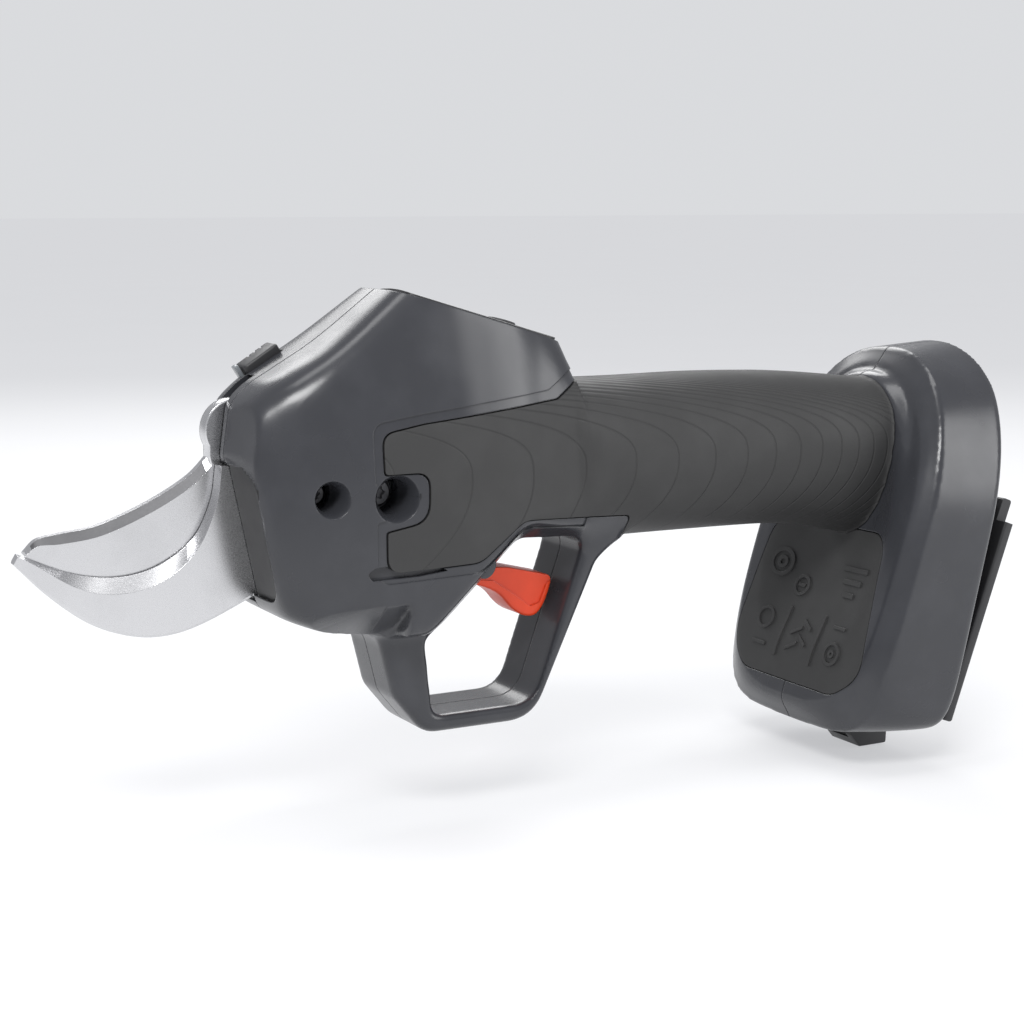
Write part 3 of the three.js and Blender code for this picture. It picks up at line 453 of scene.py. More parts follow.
def thick(flat, y, half, rounding):
    """Distance to a plate of that half thickness with rounded edges."""
    a = flat[:, None, :] + rounding
    b = np.abs(y)[None, :, None] - half + rounding
    return np.hypot(np.maximum(a, 0), np.maximum(b, 0)) + np.minimum(np.maximum(a, b), 0) - rounding


def blend_min(a, b, k):
    h = np.maximum(k - np.abs(a - b), 0) / k
    return np.minimum(a, b) - h * h * k / 4


def surface(field, voxel, value, smoothing):
    """Closed mesh of a level of a distance field, evened by a volume-keeping smoothing."""
    grid = openvdb.FloatGrid(REACH)
    grid.copyFromArray(np.ascontiguousarray(field, dtype=np.float32))
    points, quads = grid.convertToQuads(isovalue=value)
    points = points.astype(float) * voxel + LOW
    edges = np.concatenate([quads[:, [k, (k + 1) % 4]] for k in range(4)])
    degree = np.bincount(edges.ravel(), minlength=len(points)).astype(float)[:, None]
    for factor in [0.5, -0.52] * smoothing:
        total = np.zeros_like(points)
        for axis in range(3):
            total[:, axis] = np.bincount(edges[:, 0], points[edges[:, 1], axis], len(points))
            total[:, axis] += np.bincount(edges[:, 1], points[edges[:, 0], axis], len(points))
        points += factor * (total / degree - points)
    return outward(make("tool", points, quads[:, ::-1].tolist()))


def wall_depth(x, z):
    """Distance in front of the plane through the rim of the head's front wall."""
    return -0.9795 * (x + 131.6) - 0.2015 * (z - 5)


body_field = ring_field(body_rings(BODY))
# The head drawn out forwards, for the wall that lies behind its front rim.
front_field = ring_field(body_rings([(-139, *BODY[1][1:]), *BODY[2:10]]))
foot_field = ring_field(foot_rings())
guard_flat = polygon_distance(rounded(GUARD), GRID[0], GRID[2])
open_flat = polygon_distance(rounded(FINGER_OPENING), GRID[0], GRID[2])
guard_field = thick(guard_flat, GRID[1], GUARD_HALF, GUARD_ROUNDING)
X, Y, Z = (axis.reshape([-1 if k == i else 1 for k in range(3)]) for i, axis in enumerate(GRID))
# The blunt nose, raked back a little to each side, and the chamfers under the head.
nose_field = -0.983 * (X + 132) + 0.12 * abs(Y) + 0.14 * np.maximum(Z - 5, 0)
chamfer_field = np.minimum(0.632 * (abs(Y) - 24.7) - 0.776 * (Z + 31.5), -(X + 91))
body_field = np.maximum(body_field, np.maximum(nose_field, chamfer_field))
wall_field = np.minimum(wall_depth(X, Z), 5 - Z)
body_field = -blend_min(-body_field, -np.broadcast_to(wall_field, SHAPE), 2.6).astype(np.float32)
hull_field = blend_min(blend_min(body_field, guard_field, 5), foot_field, 1.2)
# The finger opening flares out beyond the guard's sides.
flare = np.clip((abs(Y) - GUARD_HALF) * 0.55, 0, 8)
skin_field = -blend_min(-hull_field, open_flat[:, None, :] - flare, 2.0)


# ---------------------------------------------------------------- shells
GRIP_DEPTH = 1.8
PAD_DEPTH = 1.5
CAVITY_INSET = 4.6
FOOT_WALL = 4


def level(field, value, coarse=False):
    """Where the field has that value; coarse, for faces that nobody sees, takes every second voxel."""
    if coarse:
        return surface(field[::2, ::2, ::2], 2 * VOXEL, value, 2)
    return surface(field, VOXEL, value, 6)


def above_panel(depth):
    length = PANEL_LENGTH + 1
    return prism([(-40, -60), (length, -60), (length, 60), (-40, 60)], -depth, 60, on_panel)


def panel_outline(margin):
    m, end = margin, PANEL_LENGTH - 3
    return rounded(
        [(2.5 - m, -10 - m, 3), (end + m, -12.2 - m, 4), (end + m, 12.2 + m, 4), (2.5 - m, 10 + m, 3)]
    )


# The space in front of the front wall, and what is cut off under the head on each side, across and up.
WEDGE = [(-140, 5), (-131.6, 5), (-124.4, -30), (-123, -45), (-140, -45)]
CHAMFER = [(28, -28.65), (9, -44.13), (9, -60), (60, -60), (60, -2.5)]
TEARDROP = [(-103.6, -22, 1.2), (-101.3, -20.6, 0.8), (-86, -20.2, 3)]
TEARDROP += [(-80.7, -23), (-89, -23.8, 3), (-102, -23.9, 0.8)]
BUTTON = (36, 4)  # place along the panel, radius
PANEL_CROWN = 1.45
PANEL_RISE = 1.2
WINDOW = (20, 5, 2)  # place along the panel, half length, half width


def window_outline(margin):
    x, a, b = WINDOW[0], WINDOW[1] + margin, WINDOW[2] + margin
    return rounded([(x - a, -b, 1.5), (x + a, -b, 1.5), (x + a, b, 1.5), (x - a, b, 1.5)])


def disc(radius, count=32, centre=(0, 0)):
    turn = 2 * math.pi * np.arange(count) / count
    return np.stack([centre[0] + radius * np.cos(turn), centre[1] + radius * np.sin(turn)], 1)


def wedge(shift):
    return prism([(x + shift, z) for x, z in WEDGE], -40, 40)


def build_shells():
    body = cut(level(skin_field, 0), above_panel(0))
    # The grip's pocket, and the shallow step that runs round it on the head.
    core = level(body_field, -GRIP_DEPTH - GAP, True)
    pocket = cut(prism(rounded(grip_corners(GAP)), -44, 44), core, level(foot_field, 0))
    step = cut(prism(rounded(grip_corners(2.8)), -44, 44), level(skin_field, -0.4))
    cut(step, block(-35, 90, -50, 50, -60, 60))
    cut(body, step, pocket)
    pad_core = level(foot_field, -PAD_DEPTH - GAP, True)
    pad_hole = prism(rounded(pad_corners(GAP)), -10, 12, on_slope(PAD_CORNER))
    cut(body, cut(pad_hole, pad_core, level(body_field, 0)))
    # The hollow.
    hollow = level(body_field, -CAVITY_INSET, True)
    cut(hollow, above_panel(CAVITY_INSET), block(-150, -127.4, -50, 50, -60, 60))
    cut(hollow, block(73.5, 90, -50, 50, -60, 60))
    cut(hollow, level(np.maximum(-REACH, open_flat[:, None, :] - flare), 2.4, True))
    cut(hollow, wedge(3))
    cut(body, hollow, level(foot_field, -FOOT_WALL, True))
    cut(body, block(-71, -58.6, -6, 6, -17.4, -12.4))
    inside = join(level(body_field, -2, True), level(foot_field, -2, True))
    cut(inside, above_panel(2))
    bosses = []
    for x, z, radius in HEAD_SCREWS:
        boss = barrel(x, z, radius + 1.7, -24, -6.4, 32)
        bosses.append(cut(boss, barrel(x, z, radius + 1, -8, -6, 32)))
    for x, z, out in SCREWS:
        bosses.append(barrel(x, z, 4.4, -40, 40, 24))
    for side in (-1, 1):
        bosses.append(barrel(*TRIGGER_PIVOT, 3.3, *either(side, 6.9, 26), 24))
    for boss in bosses:
        join(body, common(boss, inside, keep=True))
    remove(inside)
    # Front wall, chamfers under the head, side slots.
    cut(body, common(level(front_field, -2.2), wedge(WALL_STEP)))
    for side in (-1, 1):
        cut(body, prism([(side * b, h) for b, h in CHAMFER], -140, -98, lambda a, b, h: (h, a, b)))
        slot = prism(rounded(TEARDROP), *either(side, 10, 40))
        cut(body, cut(slot, level(body_field, -2.1, True)))
    cut(body, *openings())
    # The shells meet at the seam, with a groove along it on the outside.
    core = cut(level(skin_field, -SEAM_DEPTH, True), above_panel(SEAM_DEPTH))
    cut(core, wedge(WALL_STEP + SEAM_DEPTH))
    cut(body, cut(block(-200, 200, -SPLIT, SPLIT, -150, 100), core))
    return half(copy(body), -1, TOUCH, "left_shell_look"), half(body, 1, TOUCH, "right_shell_look")


def openings():
    """Every hole and slot cut through the shells."""
    tools = [block(-140, -123, *SLOT_Y, -31.5, 22)]
    for degrees in (0, 9, 18, 27, 36, 45):
        angle = math.radians(degrees)
        dx, dz = SHOULDER[0] - PIVOT[0], SHOULDER[1] - PIVOT[1]
        x = PIVOT[0] + dx * math.cos(angle) + dz * math.sin(angle)
        z = PIVOT[1] - dx * math.sin(angle) + dz * math.cos(angle)
        tools.append(barrel(x, z, SHOULDER[2] + 0.6, *SLOT_Y))
    trigger_slot = [(-74, -17), (-60, -17), (-54, -21), (-60, -34), (-70, -38), (-74.5, -29)]
    tools.append(prism(trigger_slot, -6.6, 6.6))
    tools.append(block(-140, -112, HOOK_Y[0] - GAP, SLOT_Y[0] + 0.1, -31.5, 5.3))
    tools.append(block(-129.1, -112, HOOK_Y[0] - GAP, SLOT_Y[0] + 0.1, 4, 19.3))
    tools.append(barrel(*PIVOT, 7, SLOT_Y[1] - 0.1, 17))
    for x, z, radius in HEAD_SCREWS:
        tools += [barrel(x, z, radius, -40, -10.5), barrel(x, z, 2.2, -12, -5)]
        mouth = [(0, -22.6), (radius, -22.6), (radius + 2, -26), (radius + 2, -40), (0, -40)]
        tools.append(lathe(mouth, along_y(x, z)))
    for x, z, out in SCREWS:
        tools += [barrel(x, z, 3.3, out - 5, 50), barrel(x, z, 1.9, -6, out, 24)]
    for side in (-1, 1):
        tools.append(barrel(*TRIGGER_PIVOT, 1.8, *either(side, 6, 9.8), 24))
    rail = on_slope(RAIL_CORNER)
    tools.append(prism([(-25.3, 1.7), (25.3, 1.7), (25.3, 66.3), (-25.3, 66.3)], -16, 12, rail))
    tools.append(prism(panel_outline(GAP), -1.6 - GAP, 20, on_panel))
    tools.append(prism(disc(2.2, 24, (BUTTON[0], 0)), -12, -1, on_panel))
    tools.append(prism(disc(BUTTON[1] + GAP, 40, (BUTTON[0], 0)), -3.2, 1, on_panel))
    tools.append(prism([(-6.3, -3.9), (6.8, -3.9), (6.8, 3.9), (-6.3, 3.9)], -2.1, 20, on_light))
    return tools


left_shell, right_shell = build_shells()


# ---------------------------------------------------------------- soft covers
def build_grips():
    skin = cut(level(skin_field, 0), level(body_field, -GRIP_DEPTH, True), above_panel(0))
    common(skin, prism(rounded(grip_corners(0)), -44, 44))
    cut(skin, level(foot_field, GAP))
    cut(skin, level(guard_field, GAP, True))
    return half(copy(skin), -1, SPLIT, "left_grip_look"), half(skin, 1, SPLIT, "right_grip_look")


def build_pad():
    pad = cut(level(foot_field, 0), level(foot_field, -PAD_DEPTH, True), level(body_field, GAP))
    common(pad, prism(rounded(pad_corners(0)), -9, 11, on_slope(PAD_CORNER)))
    for mark in pad_marks():
        join(pad, mark)
    pad.name = "foot_pad_look"
    return pad


def pad_marks():
    """Plain raised marks on the pad: rings, chevrons and bars."""
    slope = on_slope(PAD_CORNER)

    def ring(a, b, outer, inner):
        rows = [(inner, -9), (outer, -9), (outer, 11), (inner, 11)]
        return lathe(rows, lambda p, q, h: slope(a + p, b + q, h), 40)

    def bar(a, b, wide, high, lean=0.0):
        ends = [(a - wide, b - high), (a + wide, b - high + lean)]
        ends += [(a + wide, b + high + lean), (a - wide, b + high)]
        return prism(ends, -9, 11, slope)

    shapes = [bar(8.5, 12.5, 0.45, 8), bar(-8.5, 12.5, 0.45, 8)]
    shapes += [ring(17.5, 15, 3.6, 2.7), bar(17.5, 7, 3.2, 0.5)]
    for b in (8, 13):
        for side in (-1, 1):
            shapes.append(bar(side * 2, b + 2, 2.1, 0.55, -side * 2.4))
    shapes += [ring(-17.5, 10, 3.6, 2.7), ring(-17.5, 10, 1.3, 0.5), bar(-17.5, 18, 3.2, 0.5)]
    shapes += [ring(19, 33, 4.6, 3.4), ring(19, 33, 2, 0.9), ring(8, 27.5, 3.4, 2.4), bar(8, 27.5, 1.5, 0.5)]
    shapes += [bar(-15, b, 7 - (36 - b) * 0.5, 0.75) for b in (28, 32, 36)]
    proud = level(foot_field, 0.5)
    deep = level(foot_field, -0.8, True)
    marks = []
    for shape in shapes:
        common(shape, proud, keep=True)
        marks.append(boolean(shape, deep, "DIFFERENCE", keep=True))
    remove(proud)
    remove(deep)
    return marks


left_grip, right_grip = build_grips()
foot_pad = build_pad()


# ---------------------------------------------------------------- blades
def spline(points, count):
    """Curve through the points, evenly parametrised."""
    p = np.array(points, float)
    p = np.concatenate([[2 * p[0] - p[1]], p, [2 * p[-1] - p[-2]]])
    t = np.linspace(0, len(points) - 1, count)
    i = np.clip(t.astype(int), 0, len(points) - 2)
    s = (t - i)[:, None]
    a, b, c, d = p[i], p[i + 1], p[i + 2], p[i + 3]
    return 0.5 * (2 * b + (c - a) * s + (2 * a - 5 * b + 4 * c - d) * s**2 + (3 * b - a - 3 * c + d) * s**3)


def ease(t):
    """From 0 to 1 with no slope at either end."""
    t = min(1, max(0, t))
    return t * t * (3 - 2 * t)


def share_across(distance, width):
    """The share of the width, levelling off where the blade narrows."""
    share = distance / width
    return share / (1 + (share / 0.42) ** 4) ** 0.25


def tube(points, around, name):
    """Closed skin over rings of points that follow each other."""
    rows = len(points) // around
    faces = [range(around), range(rows * around - 1, (rows - 1) * around - 1, -1)]
    for r in range(rows - 1):
        for k in range(around):
            a, b = r * around + k, r * around + (k + 1) % around
            faces.append((a, b, b + around, a + around))
    return outward(make(name, points, faces))


def strip(edge, back, sections, name):
    """Blade between two curves. Sections hold distance from the edge, or minus that from the back, and y."""
    points = []
    for e, b, section_points in zip(edge, back, sections):
        width = max(np.hypot(*(b - e)), 1e-6)
        for across, y in section_points:
            share = share_across(across, width) if across >= 0 else 1 - share_across(-across, width)
            x, z = e + (b - e) * share
            points.append((x, y, z))
    return tube(points, len(sections[0]), name)


def arc(centre, radius, start, end, count=24):
    turn = np.radians(np.linspace(start, end, count))
    return np.stack([centre[0] + radius * np.cos(turn), centre[1] + radius * np.sin(turn)], 1)


BACK = -1e-9  # stands for a point on the back itself
ROWS = 90  # sections along a blade
# Painted shade on the cutter's spine bevel reaches up to here.
SPINE_SHADE_END = -135.2  # the cutter's bevel is dark up to here


def build_hook():
    edge = [(-184.6, -14.2), (-171.2, -20.2), (-159.6, -22.3), (-148.8, -20.4)]
    edge += [(-139.2, -14.1), (-134.2, -4.8), (-132.6, 4.4), (-131.8, 9)]
    back = [(-185.9, -16.4), (-177.5, -25.2), (-168, -32.7), (-158, -36.9)]
    back += [(-148.6, -38), (-138.6, -36), (-124.3, -29.9), (-122, -28)]
    low, high = HOOK_Y
    sections = []
    for t in np.linspace(0, 1, ROWS):
        ground = 0.6 + 4.6 * ease(t * 4) * ease((0.9 - t) * 2.4)
        chamfer = 0.7 + 1.4 * max(0, 0.35 - t)
        across = [0, 0, ground, -chamfer, BACK, BACK, -0.6]
        heights = [high, high - 0.7, low, low, low + chamfer * 0.8, high - 0.6, high]
        sections.append(list(zip(across, heights)))
    blade = strip(spline(edge, ROWS), spline(back, ROWS), sections, "hook_blade_look")
    # The near face thins towards the tip.
    facet = [(-190, low - 1), (-172, low - 1), (-172, low), (-190, low + 1.3)]
    cut(blade, prism(facet, -40, 0, lambda a, b, h: (a, b, h)))
    root = [(-132.5, 4.5), (-128.6, 4.6), (-128.6, 12)]
    root += arc(PIVOT, 8.4, 171, -54, 40).tolist()
    root += [(-111.6, 0.9), (-88, 0.2), (-86, -2), (-88, -9), (-106, -11), (-117, -27), (-124.3, -29.9)]
    cut(blade, block(-140, -100, -10, 20, 4.4, 30))
    join(blade, prism(root, low, high))
    cut(blade, barrel(*PIVOT, 3.8, -5, 9))
    for x, z, _ in HEAD_SCREWS:
        cut(blade, barrel(x, z, 2.2, -5, 9))
    return blade


def build_cutter():
    back = [(-181.8, -14.4), (-178.6, -11.6), (-173, -10.6), (-163, -9.2)]
    back += [(-150.2, -4.4), (-139.5, 1.4), (-133.9, 6.6), (-131.9, 9)]
    edge = [(-182, -15.4), (-177.5, -20), (-171, -23.4), (-158.6, -26)]
    edge += [(-147, -24), (-136.6, -17), (-130.6, -7), (-127, -2)]
    low, high = BLADE_Y
    sections = []
    for t in np.linspace(0, 1, ROWS):
        ground = 1 + 6 * ease(t * 5) * ease((1 - t) * 6)
        band = 0.6 + 1.8 * ease(t * 3)
        across = [0, -band, BACK, BACK, -0.7, ground, 0]
        heights = [low, low, low + 1.5, high - 0.6, high, high, low + 0.5]
        sections.append(list(zip(across, heights)))
    blade = strip(spline(edge, ROWS), spline(back, ROWS), sections, "cutting_blade_look")
    root = [(-134.2, 6.4), (-131.4, -7.6), (-123, 1)]
    root += arc(PIVOT, 8.3, -81, 81, 40).tolist()
    root += arc((-126.8, 12.9), 8.3, 72, 207, 48).tolist()
    join(blade, soften(prism(root, low, high), 0.5))
    cut(blade, barrel(*PIVOT, 5.1, 0, 20))
    for degrees in (-10, 50):
        turn = math.radians(degrees)
        x, z = PIVOT[0] + 6.9 * math.cos(turn), PIVOT[1] + 6.9 * math.sin(turn)
        cut(blade, barrel(x, z, 1.3, 0, 20, 16))
    return blade


hook = build_hook()
cutter = build_cutter()


# ---------------------------------------------------------------- trigger
def quadratic(a, b, c, count=10):
    t = np.linspace(0, 1, count)[:, None]
    a, b, c = (np.array(v, float) for v in (a, b, c))
    return ((1 - t) ** 2 * a + 2 * t * (1 - t) * b + t * t * c).tolist()


def cubic(a, b, c, d, count=16):
    t = np.linspace(0, 1, count)[:, None]
    a, b, c, d = (np.array(v, float) for v in (a, b, c, d))
    return ((1 - t) ** 3 * a + 3 * t * (1 - t) ** 2 * b + 3 * t * t * (1 - t) * c + t**3 * d).tolist()


def build_trigger():
    outline = arc(TRIGGER_PIVOT, 3.2, -27, 234, 24).tolist()
    outline += cubic((-67.6, -30.6), (-59.4, -32.4), (-55.6, -34), (-53, -37.4))
    outline += cubic((-53, -37.4), (-50, -41.4), (-46, -43), (-43.6, -42))[1:]
    outline += quadratic((-43.6, -42), (-40.8, -40.6), (-38.8, -33.6))[1:]
    outline += quadratic((-38.8, -33.6), (-38.4, -31.4), (-40, -31))[1:]
    outline += [(-51.9, -28), (-60.4, -27.2), (-65.7, -26.9)]
    body = soften(prism(outline, -5.8, 5.8, name="trigger_look"), 1.1, 4)
    # The sides are set in a little along the top, above the finger face's edge band.
    band = [(-80, -20), (-80, -29.2), (-66, -30), (-57, -31.2), (-50, -36), (-45.6, -39.4)]
    band += [(-42.6, -38.6), (-40.4, -33.5), (-36, -30), (-36, -20)]
    for side in (-1, 1):
        cut(body, prism(rounded([(x, z, 1) for x, z in band], 4), *either(side, 5.25, 8)))
    return cut(body, barrel(*TRIGGER_PIVOT, 1.8, -10, 10, 24))


# ---------------------------------------------------------------- top panel, button, light
def on_button(a, b, h):
    """Coordinates round the button's axis."""
    return on_panel(BUTTON[0] + a, b, h)


def build_panel():
    panel = prism(panel_outline(0), -1.6, 2, on_panel, "top_panel_look")
    crown = [(y, PANEL_CROWN * (1 - (y / 15) ** 2)) for y in np.linspace(-15, 15, 31)]
    crown += [(15, -5), (-15, -5)]
    common(panel, prism(crown, -5, 60, lambda b, h, a: on_panel(a, b, h)))
    soften(panel, 0.5, 3)
    x, radius = BUTTON
    cut(panel, prism(disc(radius + GAP, 48, (x, 0)), -4, 3, on_panel))
    cut(panel, prism(window_outline(GAP), -4, 3, on_panel))
    ring = [(radius + 1.1, 0.7), (radius + 1.5, 0.7), (radius + 1.5, 3), (radius + 1.1, 3)]
    cut(panel, lathe(ring, on_button, 48))
    window = prism(window_outline(0), -1.6, PANEL_RISE + 0.1, on_panel, "status_window_look")
    soften(window, 0.25, 2)
    for i in range(3):
        cut(window, prism(disc(0.75, 20, (WINDOW[0] - 3 + 3 * i, 0)), PANEL_RISE - 0.1, 3, on_panel))
    cap = lathe(
        [(0, -6.4), (1.6, -6.4), (1.6, -1.6), (radius, -1.6), (radius, 1.7), (radius - 0.3, 2)]
        + [(radius - 0.9, 2), (radius - 1.6, 1.75), (1.1, 1.6), (0, 1.58)],
        on_button,
        56,
        "power_button_look",
    )
    mark = [(1.2, 1.5), (1.7, 1.5), (1.7, 1.85), (1.2, 1.85)]
    join(cap, lathe(mark, on_button, 40))
    return panel, window, cap


def build_light():
    shape = rounded([(-4.5, -3.6, 1.2), (6.5, -3.6, 1.2), (6.5, 3.6, 1.2), (-4.5, 3.6, 1.2)])
    housing = soften(prism(shape, -1.8, 2.3, on_light, "work_light_look"), 0.6, 3)
    for i in range(3):
        cut(housing, block(-0.5 + 2 * i, 0.3 + 2 * i, 2.05, 4, -2.4, 2.4, lambda a, b, h: on_light(a, h, b)))
    lens = block(-6, -4.8, -3, 3, -1, 1.8, on_light)
    lens.name = "work_light_lens_look"
    return housing, soften(lens, 0.3, 3)


# ---------------------------------------------------------------- battery rail
def rail_block(a0, a1, b0, b1, h0, h1):
    return prism([(a0, b0), (a1, b0), (a1, b1), (a0, b1)], h0, h1, on_slope(RAIL_CORNER))


def build_rail():
    face = soften(rail_block(-31, 31, 0, 69, -3.5, 0), 0.8, 3)
    join(face, rail_block(-25, 25, 2, 66, -15.7, -1))
    cut(face, rail_block(-18, 18, 7, 28, -12, 5), rail_block(-8, 8, 52, 60, -4, 5))
    for y in (-13, -5, 5, 13):
        cut(face, rail_block(y - 0.8, y + 0.8, 9.5, 25.5, -20, 5))
    for side in (-1, 1):
        cut(face, rail_block(*either(side, 27, 40), 62, 80, -10, 5))
        # A slide channel and a finer groove beside it.
        cut(face, rail_block(*either(side, 22.4, 25), 6, 72, -1.2, 5))
        cut(face, rail_block(*either(side, 20.2, 21), 32, 62, -0.6, 5))
    for b in (34, 38, 42, 46):
        cut(face, rail_block(-12, 12, b, b + 1.4, -0.7, 5))
    place = on_slope(RAIL_CORNER)
    for a, b in ((-28, 10), (28, 10), (-28, 52), (28, 52)):
        hole = [(0, -2.4), (1.9, -2.4), (1.9, 1), (0, 1)]
        cut(face, lathe(hole, lambda p, q, h, a=a, b=b: place(a + p, b + q, h), 28))
    face.name = "battery_rail_look"
    return face


def build_stop():
    shape = [(66, -84.4), (66, -90.4, 1), (69.4, -94.5, 1), (79.6, -94.5, 0.8), (80, -84.4)]
    stop = soften(prism(rounded(shape), -7, 7, name="foot_stop_look"), 0.5, 2)
    cut(stop, block(65, 68, -4.2, 4.2, -91.8, -86.6))
    return stop


# ---------------------------------------------------------------- screws
def star(radius, centre, count=6):
    turn = 2 * math.pi * np.arange(8 * count) / (8 * count)
    reach = radius * (1 + 0.16 * np.cos(count * turn))
    return np.stack([centre[0] + reach * np.cos(turn), centre[1] + reach * np.sin(turn)], 1)


def build_screw(x, z, head, shank, top, tip, name):
    out = 1 if top > tip else -1
    rows = [(0, top), (head - 0.5, top), (head, top - out * 0.5), (head, top - out * 2.4)]
    rows += [(shank, top - out * 2.4)]
    thread = top - out * 5
    while (thread - tip) * out > 1.2:
        rows += [(shank, thread), (shank - 0.25, thread - out * 0.4), (shank, thread - out * 0.8)]
        thread -= out * 0.8
    rows += [(shank, tip + out * 0.4), (shank - 0.4, tip), (0, tip)]
    screw = lathe(rows, along_y(x, z), 32, name)
    return cut(screw, prism(star(head * 0.47, (x, z)), *sorted((top - out * 1.4, top + out))))


trigger = build_trigger()
panel, window, button = build_panel()
light, light_lens = build_light()
rail = build_rail()
stop = build_stop()
screws = [
    build_screw(*HEAD_SCREWS[0][:2], 3, 1.8, -13.2, 3.2, "head_screw_front_look"),
    build_screw(*HEAD_SCREWS[1][:2], 3.6, 1.8, -13.2, 12, "head_screw_rear_look"),
]
for i, (x, z, out) in enumerate(SCREWS):
    screws.append(build_screw(x, z, 2.8, 1.5, out - 2.2, -5.5, f"shell_screw_{i + 1}_look"))


def build_spring():
    """Coil between the trigger and its switch."""
    x, low, high, radius, wire, turns, around = -62.4, -26.1, -17.4, 2.0, 0.35, 4, 10
    points = []
    for t in np.linspace(0, 1, 24 * turns + 1):
        turn = 2 * math.pi * turns * t
        centre = Vector((x + radius * math.cos(turn), radius * math.sin(turn), low + (high - low) * t))
        outer = Vector((math.cos(turn), math.sin(turn), 0))
        for k in range(around):
            angle = 2 * math.pi * k / around
            points.append(centre + wire * (outer * math.cos(angle) + Vector((0, 0, 1)) * math.sin(angle)))
    return tube(points, around, "trigger_spring_look")


spring = build_spring()


# ---------------------------------------------------------------- materials
def colour(red, green, blue):
    """Scene-linear colour from 0..255 display values."""
    values = [v / 255 for v in (red, green, blue)]
    linear = [v / 12.92 if v <= 0.04045 else ((v + 0.055) / 1.055) ** 2.4 for v in values]
    return (*linear, 1)


class Finish:
    """A procedural material built up in steps on one shader."""

    def __init__(self, name, base, rough, metal=0.0):
        self.slot = name
        self.material = bpy.data.materials.new(name)
        self.material.use_nodes = True
        self.tree = self.material.node_tree
        self.shader = self.tree.nodes["Principled BSDF"]
        self.shader.inputs["Metallic"].default_value = metal
        self.shader.inputs["Base Color"].default_value = base
        self.shader.inputs["Roughness"].default_value = rough
        self.base = base
        self.rough = rough
        self.place = self.tree.nodes.new("ShaderNodeTexCoord").outputs["Object"]
        self.normal = None

    def link(self, source, socket):
        self.tree.links.new(source, socket)

    def node(self, kind, **values):
        made = self.tree.nodes.new(kind)
        for key, value in values.items():
            setattr(made, key, value)
        return made

    def noise(self, scale, detail=3.0, stretch=(1, 1, 1), turn=(0, 0, 0), distortion=0.0):
        mapping = self.node("ShaderNodeMapping")
        mapping.inputs["Scale"].default_value = stretch
        mapping.inputs["Rotation"].default_value = turn
        made = self.node("ShaderNodeTexNoise")
        made.inputs["Scale"].default_value = scale
        made.inputs["Detail"].default_value = detail
        made.inputs["Distortion"].default_value = distortion
        self.link(self.place, mapping.inputs["Vector"])
        self.link(mapping.outputs["Vector"], made.inputs["Vector"])
        return made.outputs["Fac"]

    def ramp(self, source, low, high, to_low, to_high):
        made = self.node("ShaderNodeMapRange")
        for key, value in (("From Min", low), ("From Max", high), ("To Min", to_low), ("To Max", to_high)):
            made.inputs[key].default_value = value
        self.link(source, made.inputs["Value"])
        return made.outputs["Result"]

    def tint(self, source, low, high, to):
        """Mixes the base towards another colour where source goes from low to high."""
        mix = self.node("ShaderNodeMix", data_type="RGBA")
        previous = self.shader.inputs["Base Color"]
        if previous.is_linked:
            self.link(previous.links[0].from_socket, mix.inputs["A"])
        else:
            mix.inputs["A"].default_value = self.base
        mix.inputs["B"].default_value = to
        self.link(self.ramp(source, low, high, 0, 1), mix.inputs["Factor"])
        self.link(mix.outputs["Result"], self.shader.inputs["Base Color"])

    def vary_rough(self, source, spread):
        value = self.ramp(source, 0.3, 0.7, self.rough - spread, self.rough + spread)
        self.link(value, self.shader.inputs["Roughness"])

    def soft_edges(self, radius):
        made = self.node("ShaderNodeBevel", samples=6)
        made.inputs["Radius"].default_value = radius * MM
        self.normal = made.outputs["Normal"]
        self.link(self.normal, self.shader.inputs["Normal"])

    def bump(self, source, strength, depth):
        made = self.node("ShaderNodeBump")
        made.inputs["Strength"].default_value = strength
        made.inputs["Distance"].default_value = depth * MM
        self.link(source, made.inputs["Height"])
        if self.normal:
            self.link(self.normal, made.inputs["Normal"])
        self.normal = made.outputs["Normal"]
        self.link(self.normal, self.shader.inputs["Normal"])

    def math(self, operation, *values, clamp=False):
        made = self.node("ShaderNodeMath", operation=operation, use_clamp=clamp)
        for socket, value in zip(made.inputs, values):
            if isinstance(value, (int, float)):
                socket.default_value = value
            else:
                self.link(value, socket)
        return made.outputs[0]

    def contour_grooves(self):
        """Fine grooves along level lines that run down the handle and close up towards the foot."""
        op = self.math
        axes = self.node("ShaderNodeSeparateXYZ")
        self.link(self.place, axes.inputs[0])
        x = op("SUBTRACT", op("MULTIPLY", axes.outputs["X"], 1 / MM), ORIGIN[0])
        z = op("SUBTRACT", op("MULTIPLY", axes.outputs["Z"], 1 / MM), ORIGIN[2])
        over = op("MAXIMUM", z, 0.0)
        under = op("MINIMUM", z, 0.0)
        bend = op("MULTIPLY", op("POWER", over, 3.0), 0.0075)
        bend = op("ADD", bend, op("MULTIPLY", op("MULTIPLY", under, under), 0.03))
        along = op("ADD", x, bend)
        steep = op("MULTIPLY", op("MULTIPLY", over, over), 0.0225)
        steep = op("SQRT", op("ADD", op("MULTIPLY", steep, steep), 1.0))
        left = op("MAXIMUM", op("SUBTRACT", 106.0, along), 2.0)
        count = op("MULTIPLY", op("LOGARITHM", op("DIVIDE", left, 190.0), math.e), -8.6)
        apart = op("ABSOLUTE", op("SUBTRACT", op("FRACT", count), 0.5))
        apart = op("MULTIPLY", apart, op("DIVIDE", left, op("MULTIPLY", steep, 8.6)))
        groove = self.ramp(apart, 0.05, 0.4, 0, 1)
        self.bump(groove, 0.55, 0.2)
        # The grooves are tinted darker: painted shade in the grooves.
        self.tint(groove, 0.7, 0.0, tuple(v * 0.72 for v in self.base[:3]) + (1,))


